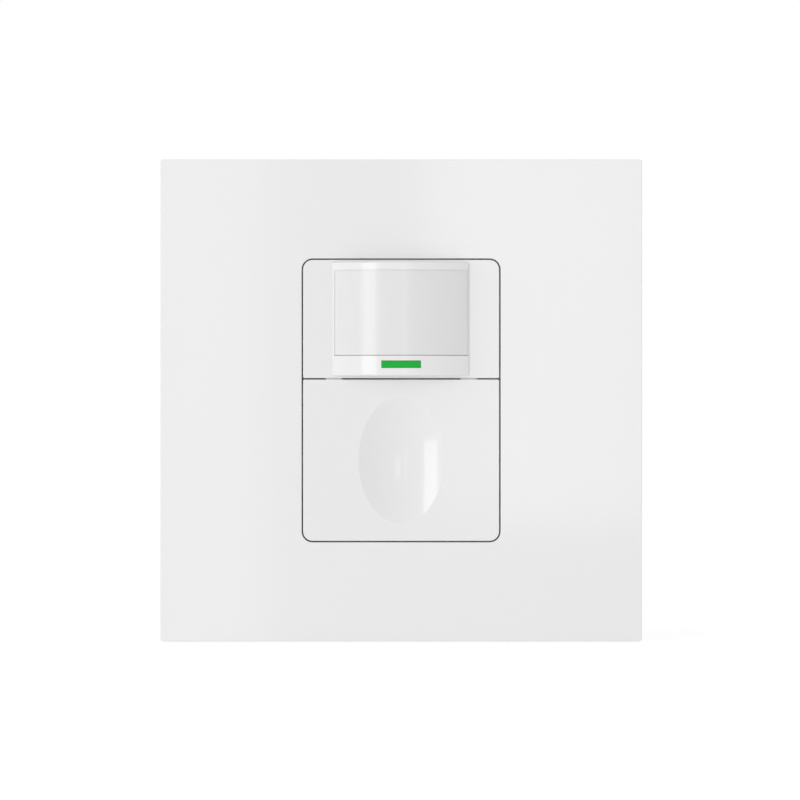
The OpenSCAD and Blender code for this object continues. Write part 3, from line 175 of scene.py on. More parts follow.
class LensSizes(bpy.types.PropertyGroup):
    """Sizes of the Fresnel lens and the green bar"""
    edge_gap: length("Edge gap", "Gap at the top and the sides of the lens", 0.006)
    foot_gap: length("Foot gap", "Gap below the lens", 0.08)
    recess: length("Recess", "Depth of the lens below the visor's surface", 0.05)
    edge: length("Edge rounding", "Rounding of the lens's front edges", 0.02)
    skin: length("Skin", "Thickness of the smooth outer skin over the grooves", 0.25)
    bar_width: length("Bar width", "Width of the green indicator bar", 7)
    bar_height: length("Bar height", "Height of the green indicator bar", 1.3)
    bar_edge: length("Bar edge", "Rounding of the bar's front edges", 0.05)


class SpringSizes(bpy.types.PropertyGroup):
    """Sizes of the button's coil springs"""
    diameter: length("Diameter", "Outside diameter of a spring", 4)
    wire: length("Wire", "Thickness of the spring wire", 0.45)
    turns: bpy.props.IntProperty(name="Turns", description="Turns of each spring", default=5, min=2)
    kept: bpy.props.FloatProperty(
        name="Kept length", description="Share of its length that a pressed spring keeps",
        default=0.85, min=0.1, max=1.0, subtype="FACTOR")


class BackSizes(bpy.types.PropertyGroup):
    """Sizes of the pieces behind the plate"""
    yoke_edge: length("Yoke edge", "Rounding of the steel yoke's punched edges", 0.15)
    box_edge: length("Box edge", "Rounding of the wall box's moulded edges", 0.3)


class Finishes(bpy.types.PropertyGroup):
    """Colours of the pieces"""
    plate: colour("Cover plate", "Glossy white of the cover plate", "#EDEDED")
    face: colour("Face", "Satin white of the fascia and the button", "#EBEBEB")
    lens: colour("Lens", "Milky white of the lens", "#E6E6E6")
    bar: colour("Indicator bar", "Green of the indicator bar", "#14A335")
    zinc: colour("Zinc", "Zinc plating on the yoke", "#C3C7CB")
    nickel: colour("Nickel", "Nickel plating on screws and springs", "#CFCBC2")
    housing: colour("Housing", "Light grey of the wall box", "#D1D4D6")
    brass: colour("Brass", "Brass of the terminals", "#CDA95B")
    mask: colour("Solder mask", "Green of the circuit boards", "#1E6A3C")
    black: colour("Black plastic", "Black of relay, chip and shroud", "#1B1C1E")
    nylon: colour("White nylon", "White of spacers and dials", "#E4E3DD")
    blue: colour("Blue plastic", "Blue of trimmers and varistor", "#2A5FA8")
    yellow: colour("Yellow plastic", "Yellow of the film capacitor", "#D9A51E")
    glass: colour("Glass", "Glass of the fuse", "#F2F5F4")


class Studio(bpy.types.PropertyGroup):
    """Light, floor and camera"""
    fill: bpy.props.FloatProperty(
        name="Fill", description="Strength of the even light from all round", default=0.69, min=0.0)
    camera_distance: length("Camera distance", "Distance of the camera from the plate's front", 793)
    focal_length: bpy.props.FloatProperty(
        name="Focal length", description="Focal length of the camera", default=200.0, min=1.0, unit="CAMERA")
    floor: colour("Floor", "Pale grey of the floor", "#F2F2F2")
    floor_size: length("Floor size", "Side of the square floor", 6000)
    floor_gap: length("Floor gap", "Gap between the plate and the floor", 0.2)
    floor_glow: bpy.props.FloatProperty(
        name="Floor glow", description="Light that the floor itself gives off", default=0.185, min=0.0)
    floor_lift: bpy.props.FloatProperty(
        name="Floor lift", description="Light that the view of the floor has on top",
        default=0.18, min=0.0)
    floor_white: bpy.props.FloatProperty(
        name="Floor white", description="Share of plain white in the view of the floor",
        default=0.7, min=0.0, max=1.0, subtype="FACTOR")


# Helpers for modelling

@contextmanager
def editing(piece):
    """Opens one piece in edit mode, with nothing else selected."""
    make_active(piece)
    bpy.ops.object.mode_set(mode="EDIT")
    yield
    bpy.ops.object.mode_set(mode="OBJECT")


def make_active(piece):
    """Selects one piece alone."""
    bpy.ops.object.select_all(action="DESELECT")
    piece.select_set(True)
    bpy.context.view_layer.objects.active = piece


def named(name):
    """Names the piece that was just added, with its place and size put into its mesh."""
    piece = bpy.context.active_object
    piece.name = name
    piece.data.name = name
    bpy.ops.object.transform_apply(location=True, rotation=True, scale=True)
    return piece


def block(name, low, high):
    """Adds a cube stretched between two corners."""
    low, high = Vector(low), Vector(high)
    bpy.ops.object.select_all(action="DESELECT")
    bpy.ops.mesh.primitive_cube_add(size=1, location=(low + high) / 2)
    bpy.context.active_object.scale = high - low
    return named(name)


def trim(piece, point, normal):
    """Cuts away what lies past a plane, on the side that its normal points to, and closes the cut."""
    with editing(piece):
        bpy.ops.mesh.select_all(action="SELECT")
        bpy.ops.mesh.bisect(
            plane_co=point, plane_no=normal, use_fill=True, clear_outer=True, threshold=ON_PLANE)


def along(axis):
    """Test for edges that run along an axis."""
    def test(edge):
        run = edge.verts[1].co - edge.verts[0].co
        return abs(run[axis]) > run.length - NEAR
    return test


def at(axis, place):
    """Test for edges that lie at a place on an axis."""
    return lambda edge: all(abs(v.co[axis] - place) < NEAR for v in edge.verts)


def within(low, high):
    """Test for edges that lie inside a box, given by two corners."""
    return lambda edge: all(
        low[i] - NEAR < v.co[i] < high[i] + NEAR for v in edge.verts for i in (X, Y, Z))


def sharp(edge):
    """Test for edges where the surface turns enough for a crease."""
    return edge.calc_face_angle(0) > radians(CREASE)


def ahead(depth):
    """Test for edges that lie in front of a depth."""
    return lambda edge: all(v.co.y < depth - NEAR for v in edge.verts)


def on_bow(radius):
    """Test for edges that lie on a bow about the visor's axis."""
    axis = visor_axis()
    return lambda edge: all(abs(hypot(v.co.x, v.co.y - axis) - radius) < NEAR for v in edge.verts)


def pick(piece, *tests):
    """Selects the edges of a piece in edit mode that pass every test."""
    bpy.ops.mesh.select_mode(type="EDGE")
    bpy.ops.mesh.select_all(action="DESELECT")
    picked = [edge for edge in bmesh.from_edit_mesh(piece.data).edges if all(test(edge) for test in tests)]
    if not picked:
        raise RuntimeError(f"{piece.name} has no edge there")
    for edge in picked:
        edge.select_set(True)
    bmesh.update_edit_mesh(piece.data)


def bevel(piece, width, *tests, segments=SEAM_STEPS):
    """Rounds the edges that pass every test."""
    with editing(piece):
        pick(piece, *tests)
        bpy.ops.mesh.bevel(offset=width, segments=segments, affect="EDGES", clamp_overlap=True)


def outward(piece):
    """Points every face of a closed piece outwards."""
    with editing(piece):
        bpy.ops.mesh.select_all(action="SELECT")
        bpy.ops.mesh.normals_make_consistent(inside=False)


def rounded_block(name, low, high, corner):
    """Adds a block whose four edges along the depth are round."""
    piece = block(name, low, high)
    bevel(piece, corner, along(Y), segments=CORNER_STEPS)
    return piece


def bowed_block(name, radius, half, low, high, back):
    """Adds a block between two heights whose front is bowed about the visor's axis."""
    axis = visor_axis()
    turn = asin(half / radius)
    front = axis - radius * cos(turn)
    piece = block(name, (-half, front, low), (half, back, high))
    with editing(piece):
        bpy.ops.mesh.select_mode(type="FACE")
        for face in bmesh.from_edit_mesh(piece.data).faces:
            face.select_set(face.normal.y < -FACING or abs(face.normal.z) > FACING)
        bpy.ops.mesh.delete(type="ONLY_FACE")
        pick(piece, along(Z), at(X, -half), at(Y, front))
        bpy.ops.mesh.spin(steps=BOW_STEPS, angle=-2 * turn, center=(0, axis, 0), axis=(0, 0, 1))
        bpy.ops.mesh.select_all(action="SELECT")
        bpy.ops.mesh.remove_doubles(threshold=NEAR)
        bpy.ops.mesh.fill_holes(sides=0)
    outward(piece)
    return piece


def apply_modifier(piece, kind, **settings):
    """Adds a modifier with its settings and applies it."""
    make_active(piece)
    bpy.ops.object.modifier_add(type=kind)
    modifier = piece.modifiers[-1]
    for key, value in settings.items():
        setattr(modifier, key, value)
    bpy.ops.object.modifier_apply(modifier=modifier.name)


def combine(piece, operation, *others):
    """Unites a piece with others, or cuts it by them, and takes the others away."""
    for other in others:
        apply_modifier(piece, "BOOLEAN", operation=operation, solver="EXACT", object=other)
        bpy.data.objects.remove(other)


def cad_copy(node, name):
    """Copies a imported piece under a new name, with its loose triangles merged."""
    piece = bpy.data.objects.new(name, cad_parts[node].data.copy())
    bpy.context.scene.collection.objects.link(piece)
    piece.data.name = name
    piece.data.materials.clear()
    with editing(piece):
        bpy.ops.mesh.select_all(action="SELECT")
        bpy.ops.mesh.remove_doubles(threshold=NEAR)
        bpy.ops.mesh.customdata_custom_splitnormals_clear()
    return piece


def cad_rear(node, name, front):
    """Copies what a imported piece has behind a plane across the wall's normal."""
    piece = cad_copy(node, name)
    trim(piece, (0, front, 0), (0, -1, 0))
    return piece


def soften(piece, width):
    """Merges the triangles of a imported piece's flat faces, and rounds its sharp edges a little."""
    with editing(piece):
        bpy.ops.mesh.select_all(action="SELECT")
        bpy.ops.mesh.dissolve_limited(angle_limit=radians(FLAT))
    apply_modifier(
        piece, "BEVEL", width=width, segments=FINE_STEPS, limit_method="ANGLE", angle_limit=radians(CREASE))


def smooth(piece, angle=35):
    """Shades rounded stretches smoothly and keeps flat faces flat."""
    make_active(piece)
    bpy.ops.object.shade_smooth_by_angle(angle=radians(angle))
    apply_modifier(piece, "WEIGHTED_NORMAL", weight=100, keep_sharp=True)


def hand_over(piece, material, body, slot, *nodes):
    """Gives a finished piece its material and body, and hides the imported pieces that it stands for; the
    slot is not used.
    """
    piece.data.materials.clear()
    piece.data.materials.append(material)
    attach(piece, body)
    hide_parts(*nodes)


def dress(material, *nodes):
    """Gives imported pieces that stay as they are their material."""
    for node in nodes:
        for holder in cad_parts[node].material_slots:
            holder.material = material


# Places that several pieces share

def arc_radius(chord, sag):
    """Radius of an arc from its chord and its rise."""
    return (chord ** 2 / 4 + sag ** 2) / (2 * sag)


def visor_radius():
    """Radius of the visor's bow."""
    face = bpy.context.scene.switch_face
    return arc_radius(face.visor_width, face.visor_bulge)


def visor_axis():
    """Depth of the upright axis that the visor, the lens and the bar share."""
    return VISOR_FRONT + visor_radius()


def fascia_heights(face):
    """Heights of the fascia's lower and upper edge."""
    return face.split + face.seam / 2, BUTTON_LOW.z + face.height


def window_edges(face):
    """Half the width of the lens window, and the heights of its lower and upper edge."""
    low, high = fascia_heights(face)
    half = face.visor_width / 2 - face.window_side
    return half, low + face.visor_margin + face.window_sill, high - face.visor_margin - face.window_drop


def bar_corners(lens):
    """Corners of the green bar's front, across the visor."""
    middle = (PIPE_LOW + PIPE_HIGH) / 2
    half = Vector((lens.bar_width / 2, 0, lens.bar_height / 2))
    return middle - half, middle + half


# Materials

def add_node(tree, kind, settings=None, links=None):
    """Adds a shader node, sets its properties and sockets, and links sockets to it."""
    node = tree.nodes.new(kind)
    for key, value in (settings or {}).items():
        if isinstance(key, int) or key in node.inputs:
            node.inputs[key].default_value = value
        else:
            setattr(node, key, value)
    for key, socket in (links or {}).items():
        tree.links.new(socket, node.inputs[key])
    return node


def new_material(name, **sockets):
    """Starts a material from its shader's constant values, and returns it with its tree and shader."""
    material = bpy.data.materials.new(name)
    material.use_nodes = True
    tree = material.node_tree
    shader = tree.nodes["Principled BSDF"]
    for key, value in sockets.items():
        shader.inputs[key.replace("_", " ")].default_value = value
    return material, tree, shader


def viewing_rays(tree):
    """Level that is 1 for what the camera sees, by itself, in gloss or through glass."""
    path = add_node(tree, "ShaderNodeLightPath")
    seen = path.outputs["Is Camera Ray"]
    for ray in ("Is Glossy Ray", "Is Transmission Ray"):
        either = add_node(tree, "ShaderNodeMath", {"operation": "MAXIMUM"}, {0: seen, 1: path.outputs[ray]})
        seen = either.outputs[0]
    return seen


def grain(tree, size, detail=2.0, stretch=(1.0, 1.0, 1.0)):
    """Level of a noise of a given feature size on the piece's own coordinates."""
    place = add_node(tree, "ShaderNodeTexCoord")
    turned = add_node(tree, "ShaderNodeMapping", {"Scale": stretch}, {"Vector": place.outputs["Object"]})
    noise = add_node(
        tree, "ShaderNodeTexNoise", {"Scale": 1 / size, "Detail": detail}, {"Vector": turned.outputs[0]})
    return noise.outputs["Fac"]


def tint(tree, shader, level, base, spread):
    """Lets the colour drift a little round its base, following a level."""
    ramp = add_node(tree, "ShaderNodeValToRGB", links={"Fac": level})
    for element, share in zip(ramp.color_ramp.elements, (1 - spread, 1 + spread)):
        element.color = [min(1.0, c * share) for c in base[:3]] + [1.0]
    tree.links.new(ramp.outputs["Color"], shader.inputs["Base Color"])


def vary_roughness(tree, shader, level, middle, spread):
    """Lets the roughness drift round its middle, following a level."""
    drift = add_node(
        tree, "ShaderNodeMapRange", {"To Min": middle - spread, "To Max": middle + spread}, {"Value": level})
    tree.links.new(drift.outputs["Result"], shader.inputs["Roughness"])


def emboss(tree, shader, level, depth):
    """Raises the surface by a level, to a given depth."""
    bump = add_node(tree, "ShaderNodeBump", {"Strength": 1.0, "Distance": depth}, {"Height": level})
    tree.links.new(bump.outputs["Normal"], shader.inputs["Normal"])


# The real grain of moulds and metal is finer than a pixel, so the sizes below are coarse enough to show

def moulded(name, base, roughness, grain_size, grain_depth, spread, **sockets):
    """Injection moulded plastic: an even colour under a skin with the mould's fine texture."""
    material, tree, shader = new_material(name, **sockets)
    flow_size = 9 * MM
    flow = grain(tree, flow_size, detail=1.0)
    skin = grain(tree, grain_size)
    tint(tree, shader, flow, base, spread)
    vary_roughness(tree, shader, skin, middle=roughness, spread=0.15 * roughness)
    emboss(tree, shader, skin, grain_depth)
    return material


def worked_metal(name, base, roughness, grain_size, grain_depth):
    """Rolled or drawn metal, bare or plated: bright, with faint upright streaks."""
    material, tree, shader = new_material(name, Metallic=1.0)
    streaks = grain(tree, grain_size, detail=4.0, stretch=(1.0, 1.0, 0.12))
    tint(tree, shader, streaks, base, spread=0.06)
    vary_roughness(tree, shader, streaks, middle=roughness, spread=0.35 * roughness)
    emboss(tree, shader, streaks, grain_depth)
    return material


def glossy_abs(finishes):
    """Glossy moulded ABS: a polished mould, so it mirrors the lamps softly over a plain white."""
    return moulded(
        "glossy_moulded_abs", finishes.plate, roughness=0.07, grain_size=6 * MM, grain_depth=0.0006 * MM,
        spread=0.003, IOR=1.52)


def satin_abs(finishes):
    """Satin moulded ABS: a finely etched mould, which softens the highlights."""
    return moulded(
        "satin_moulded_abs", finishes.face, roughness=0.1, grain_size=0.5 * MM, grain_depth=0.0008 * MM,
        spread=0.003, IOR=1.52)


def milky_polyethylene(finishes):
    """Moulded polyethylene: thin and milky, so light scatters inside it and shadows stay soft."""
    return moulded(
        "milky_polyethylene", finishes.lens, roughness=0.16, grain_size=0.8 * MM, grain_depth=0.0008 * MM,
        spread=0.004, IOR=1.5, Subsurface_Weight=0.35, Subsurface_Radius=(1.0, 1.0, 1.0),
        Subsurface_Scale=0.6 * MM)


def green_acrylic(finishes):
    """Dyed acrylic: an even, saturated green, lit a little from the lamp behind it."""
    return moulded(
        "green_acrylic", finishes.bar, roughness=0.12, grain_size=1.5 * MM, grain_depth=0.0005 * MM,
        spread=0.02, IOR=1.49, Specular_IOR_Level=0.2, Emission_Color=finishes.bar, Emission_Strength=0.15)


def zinc_plate(finishes):
    """Zinc plated sheet steel: a dull silver with streaks from rolling."""
    return worked_metal(
        "zinc_plated_sheet_steel", finishes.zinc, roughness=0.36, grain_size=1.2 * MM,
        grain_depth=0.002 * MM)


def nickel_plate(finishes):
    """Nickel plated steel: a bright, slightly warm silver."""
    return worked_metal(
        "nickel_plated_steel", finishes.nickel, roughness=0.25, grain_size=0.4 * MM, grain_depth=0.001 * MM)


def spring_wire(finishes):
    """Nickel plated spring wire: a bright silver with fine lines from drawing."""
    return worked_metal(
        "nickel_plated_spring_wire", finishes.nickel, roughness=0.25, grain_size=0.3 * MM,
        grain_depth=0.001 * MM)


def extruded_brass(finishes):
    """Extruded brass: a warm yellow metal with fine lines from the die."""
    return worked_metal(
        "extruded_brass", finishes.brass, roughness=0.28, grain_size=0.5 * MM, grain_depth=0.001 * MM)


def grey_nylon(finishes):
    """Moulded nylon: a matt light grey with the fine grain of an etched mould."""
    return moulded(
        "grey_moulded_nylon", finishes.housing, roughness=0.42, grain_size=0.35 * MM, grain_depth=0.006 * MM,
        spread=0.02, IOR=1.53)


def black_plastic(finishes):
    """Moulded black plastic: a dull black with a fine grain."""
    return moulded(
        "black_moulded_plastic", finishes.black, roughness=0.38, grain_size=0.3 * MM, grain_depth=0.004 * MM,
        spread=0.05)


def white_nylon(finishes):
    """Moulded nylon: a soft, slightly warm white."""
    return moulded(
        "white_moulded_nylon", finishes.nylon, roughness=0.4, grain_size=0.4 * MM, grain_depth=0.003 * MM,
        spread=0.02)


def blue_plastic(finishes):
    """Moulded blue plastic: an even blue with a slight sheen."""
    return moulded(
        "blue_moulded_plastic", finishes.blue, roughness=0.35, grain_size=0.4 * MM, grain_depth=0.003 * MM,
        spread=0.04)


def yellow_case(finishes):
    """Moulded case of a film capacitor: an even, warm yellow with a slight sheen."""
    return moulded(
        "yellow_potting_box", finishes.yellow, roughness=0.4, grain_size=0.4 * MM, grain_depth=0.004 * MM,
        spread=0.04)


def board_laminate(finishes):
    """Glass fibre laminate under solder mask: glossy green with the weave just showing through."""
    material, tree, shader = new_material("solder_mask_on_glass_fibre", Roughness=0.25, IOR=1.55)
    place = add_node(tree, "ShaderNodeTexCoord")
    weave_pitch = 0.5 * MM
    weave_depth = 0.004 * MM
    # The bands of a wave lie pi / (10 * scale) apart
    threads = [
        add_node(
            tree, "ShaderNodeTexWave",
            {"bands_direction": axis, "Scale": pi / (10 * weave_pitch), "Distortion": 0.4},
            {"Vector": place.outputs["Object"]})
        for axis in "XZ"]
    weave = add_node(
        tree, "ShaderNodeMath", {"operation": "MULTIPLY"},
        {i: thread.outputs["Fac"] for i, thread in enumerate(threads)})
    tint(tree, shader, weave.outputs[0], finishes.mask, spread=0.12)
    emboss(tree, shader, weave.outputs[0], weave_depth)
    return material


def fuse_glass(finishes):
    """Drawn glass tube: clear, with faint lines from drawing."""
    material, tree, shader = new_material(
        "drawn_glass", Transmission_Weight=1.0, IOR=1.5, Base_Color=finishes.glass)
    lines = grain(tree, 0.6 * MM, stretch=(0.1, 1.0, 1.0))
    vary_roughness(tree, shader, lines, middle=0.04, spread=0.02)
    return material


def pale_floor(studio):
    """Matt painted floor: a pale grey that the camera sees as white, with a soft shadow."""
    material, tree, shader = new_material(
        "pale_studio_floor", Roughness=0.9, Base_Color=studio.floor, Emission_Color=WHITE)
    seen = viewing_rays(tree)
    lift = add_node(
        tree, "ShaderNodeMath", {"operation": "MULTIPLY_ADD", 1: studio.floor_lift, 2: studio.floor_glow},
        {0: seen})
    tree.links.new(lift.outputs[0], shader.inputs["Emission Strength"])
    glow = add_node(tree, "ShaderNodeEmission", {"Color": WHITE, "Strength": 1.0})
    share = add_node(tree, "ShaderNodeMath", {"operation": "MULTIPLY", 1: studio.floor_white}, {0: seen})
    mix = add_node(
        tree, "ShaderNodeMixShader", links={0: share.outputs[0], 1: shader.outputs[0], 2: glow.outputs[0]})
    tree.links.new(mix.outputs[0], tree.nodes["Material Output"].inputs["Surface"])
    return material


# Pieces

class SWITCH_OT_cover_plate(bpy.types.Operator):
    """Models the white cover plate with its opening, collar, ribs, pry notch and snap clips"""
    bl_idname = "switch.cover_plate"
    bl_label = "Cover plate"

    def execute(self, context):
        sizes = context.scene.switch_plate
        face = context.scene.switch_face
        plate = block("cover_plate_shell", PLATE_LOW, PLATE_HIGH)
        bevel(plate, sizes.corner, along(Y), segments=CORNER_STEPS)
        bevel(plate, sizes.edge, at(Y, PLATE_LOW.y), segments=OUTLINE_STEPS)

        back = PLATE_LOW.y + sizes.wall
        inner = PLATE_HIGH.x - sizes.rim
        combine(plate, "DIFFERENCE", block("hollow", (-inner, back, -inner), (inner, REACH, inner)))

        half_x = BUTTON_HIGH.x + face.seam
        half_z = face.height / 2 + face.seam
        corner = face.corner + face.seam
        wall = sizes.collar_wall
        ribs_end = back + sizes.collar_depth
        collar = rounded_block(
            "collar", (-half_x - wall, back - REACH, -half_z - wall),
            (half_x + wall, ribs_end, half_z + wall), corner + wall)
        combine(plate, "UNION", collar, *self.ribs(sizes, inner + REACH, back - REACH, ribs_end))
        combine(plate, "UNION", *(self.clip(sizes, x, z, back - REACH) for x in SIDES for z in SIDES))

        past = sizes.wall
        opening = rounded_block(
            "opening", (-half_x, PLATE_LOW.y - past, -half_z), (half_x, ribs_end + past, half_z), corner)
        notch = block(
            "notch", (-sizes.notch_width / 2, -sizes.notch_depth, PLATE_LOW.z - past),
            (sizes.notch_width / 2, REACH, REACH - inner))
        combine(plate, "DIFFERENCE", opening, notch)
        front = PLATE_LOW.y
        bevel(plate, sizes.lip, within((-half_x, front, -half_z), (half_x, front, half_z)))
        smooth(plate)
        hand_over(plate, glossy_abs(context.scene.switch_finishes), "switch", "plate_abs", "cover_plate")
        return {"FINISHED"}

    def ribs(self, sizes, reach, front, back):
        """Makes the four ribs that run across behind the plate."""
        for place in (-sizes.rib_at, sizes.rib_at):
            low, high = place - sizes.rib / 2, place + sizes.rib / 2
            yield block("rib_across", (-reach, front, low), (reach, back, high))
            yield block("rib_upright", (low, front, -reach), (high, back, reach))

    def clip(self, sizes, side, end, front):
        """Makes one snap clip: an arm with a ramped nose that points to the middle."""
        low_x = side * sizes.clip_at - sizes.clip_width / 2
        high_x = low_x + sizes.clip_width
        arm_in = LUG_TOP + sizes.clip_gap
        nose_in = LUG_TOP - sizes.nose_reach
        tip = -sizes.nose_at + sizes.nose_height / 2
        arm = block("clip", (low_x, front, end * arm_in), (high_x, tip, end * (arm_in + sizes.clip_wall)))
        nose = block(
            "nose", (low_x, tip - sizes.nose_height, end * nose_in), (high_x, tip, end * arm_in))
        for piece in (arm, nose):
            outward(piece)
        with editing(nose):
            pick(nose, at(Y, tip), at(Z, end * nose_in))
            bpy.ops.transform.translate(value=(0, -sizes.nose_height / 2, 0))
        combine(arm, "UNION", nose)
        return arm


class SWITCH_OT_front_cover(bpy.types.Operator):
    """Models the fascia with its bowed visor, the lens window and the slot for the green bar"""
    bl_idname = "switch.front_cover"
    bl_label = "Front cover"

    def execute(self, context):
        face = context.scene.switch_face
        back = FACE_FRONT + face.wall
        low, high = fascia_heights(face)
        fascia = block("front_cover_shell", (BUTTON_LOW.x, FACE_FRONT, low), (BUTTON_HIGH.x, back, high))
        bevel(fascia, face.corner, along(Y), at(Z, high), segments=CORNER_STEPS)
        bevel(fascia, face.split_corner, along(Y), at(Z, low))
        bevel(fascia, face.edge, at(Y, FACE_FRONT))

        visor_low = low + face.visor_margin
        visor_high = high - face.visor_margin
        sunk = FACE_FRONT + face.wall / 2
        visor = bowed_block("visor", visor_radius(), face.visor_width / 2, visor_low, visor_high, sunk)
        bevel(visor, face.visor_corner, along(Y), segments=SMALL_CORNER_STEPS)
        bevel(visor, face.visor_edge, sharp, ahead(sunk), segments=OUTLINE_STEPS)
        combine(fascia, "UNION", visor)

        half, window_low, window_high = window_edges(face)
        ahead_of_all = 2 * VISOR_FRONT
        past = back + REACH
        inner = visor_radius() - face.visor_wall
        cavity = bowed_block(
            "cavity", inner, half, visor_low + face.visor_end, visor_high - face.visor_end, past)
        window = block("window", (-half, ahead_of_all, window_low), (half, past, window_high))
        gap = Vector((1, 0, 1)) * face.bar_gap
        lens = context.scene.switch_lens
        slot_low, slot_high = bar_corners(lens)
        slot_low.y = ahead_of_all
        slot_high.y = past
        slot = block("slot", slot_low - gap, slot_high + gap)
        combine(fascia, "DIFFERENCE", cavity, window, slot)
        combine(fascia, "UNION", cad_rear("front_cover", "base", back - REACH))
        smooth(fascia)
        hand_over(fascia, satin_abs(context.scene.switch_finishes), "switch", "face_abs", "front_cover")
        return {"FINISHED"}


class SWITCH_OT_fresnel_lens(bpy.types.Operator):
    """Models the milky lens: a smooth bowed skin over the ring grooves on its inside"""
    bl_idname = "switch.fresnel_lens"
    bl_label = "Fresnel lens"

    # Room past the window's edges, which takes in the lips that hook behind the visor
    lip_room = 1 * MM

    def execute(self, context):
        lens = context.scene.switch_lens
        half, low, high = window_edges(context.scene.switch_face)
        half -= lens.edge_gap
        low += lens.foot_gap
        high -= lens.edge_gap
        back = FACE_FRONT
        radius = visor_radius() - lens.recess
        skin = bowed_block("fresnel_lens_skin", radius, half, low, high, back)
        bevel(skin, lens.edge, sharp, on_bow(radius), segments=FINE_STEPS)
        past = self.lip_room
        hollow = bowed_block("hollow", radius - lens.skin, half + past, low - past, high + past, back + past)
        combine(skin, "DIFFERENCE", hollow)
        grooves = cad_copy("fresnel_lens", "grooves")
        room = bowed_block(
            "room", radius - lens.skin + REACH, half + past, low - past, high + past, PLATE_HIGH.y)
        combine(grooves, "INTERSECT", room)
        combine(skin, "UNION", grooves)
        smooth(skin)
        hand_over(
            skin, milky_polyethylene(context.scene.switch_finishes), "switch", "lens_hdpe", "fresnel_lens")
        return {"FINISHED"}


class SWITCH_OT_light_pipe(bpy.types.Operator):
    """Models the green bar that carries the lamp's light to the visor"""
    bl_idname = "switch.light_pipe"
    bl_label = "Green bar"

    def execute(self, context):
        lens = context.scene.switch_lens
        low, high = bar_corners(lens)
        back = FACE_FRONT
        radius = visor_radius()
        bar = bowed_block("indicator_bar", radius, lens.bar_width / 2, low.z, high.z, back)
        bevel(bar, lens.bar_edge, sharp, on_bow(radius), segments=FINE_STEPS)
        combine(bar, "UNION", cad_rear("light_pipe", "stem", back - REACH))
        smooth(bar)
        hand_over(bar, green_acrylic(context.scene.switch_finishes), "switch", "bar_pmma", "light_pipe")
        return {"FINISHED"}


class SWITCH_OT_push_button(bpy.types.Operator):
    """Models the hinged push button with its thumb dish and the tabs that cross the seam"""
    bl_idname = "switch.push_button"
    bl_label = "Push button"

    # Steps of the whole ring that the dish is a small part of, along its sweep and round its tube
    sweep_steps = 480
    tube_steps = 360

    def execute(self, context):
        face = context.scene.switch_face
        back = FACE_FRONT + face.wall
        low = BUTTON_LOW.z
        high = face.split - face.seam / 2
        button = block("push_button_shell", (BUTTON_LOW.x, FACE_FRONT, low), (BUTTON_HIGH.x, back, high))
        bevel(button, face.corner, along(Y), at(Z, low), segments=CORNER_STEPS)
        bevel(button, face.split_corner, along(Y), at(Z, high))
        bevel(button, face.edge, at(Y, FACE_FRONT))
        middle = (low + high) / 2
        combine(button, "DIFFERENCE", self.dish(face, middle))
        combine(button, "UNION", cad_rear("push_button", "works", back - REACH), *self.tabs(face, back))
        self.crease_rim(button, face, middle)
        smooth(button)
        hand_over(button, satin_abs(context.scene.switch_finishes), "button", "face_abs", "push_button")
        return {"FINISHED"}

    def crease_rim(self, button, face, middle):
        """Keeps the dish's rim crisp: its edges lie on the face, inside a box just past the dish."""
        margin = 1.02
        room = Vector((face.dish_width / 2, 0, face.dish_height / 2)) * margin
        centre = Vector((0, FACE_FRONT, middle))
        with editing(button):
            pick(button, within(centre - room, centre + room))
            bpy.ops.mesh.mark_sharp()

    def dish(self, face, middle):
        """Makes the part of a ring that hollows the dish: round across, and swept along its height."""
        tube = arc_radius(face.dish_width, face.dish_depth)
        sweep = arc_radius(face.dish_height, face.dish_depth)
        bpy.ops.object.select_all(action="DESELECT")
        bpy.ops.mesh.primitive_torus_add(
            major_radius=sweep - tube, minor_radius=tube,
            major_segments=self.sweep_steps, minor_segments=self.tube_steps,
            location=(0, FACE_FRONT + face.dish_depth - sweep, middle), rotation=(0, radians(90), 0))
        ring = named("dish")
        for side in SIDES:
            trim(ring, (side * face.dish_width, 0, 0), (side, 0, 0))
            trim(ring, (0, 0, middle + side * face.dish_height), (0, 0, side))
        trim(ring, (0, FACE_FRONT - face.dish_depth, 0), (0, -1, 0))
        return ring

    def tabs(self, face, back):
        """Makes the two tabs that stand in the seam above the button."""
        top = face.split + face.seam / 2 - face.tab_gap
        front = FACE_FRONT + face.tab_sink
        for side in SIDES:
            middle = side * (BUTTON_HIGH.x - face.tab_edge)
            yield block(
                "tab", (middle - face.tab_width / 2, front, face.split - face.wall),
                (middle + face.tab_width / 2, back + REACH, top))


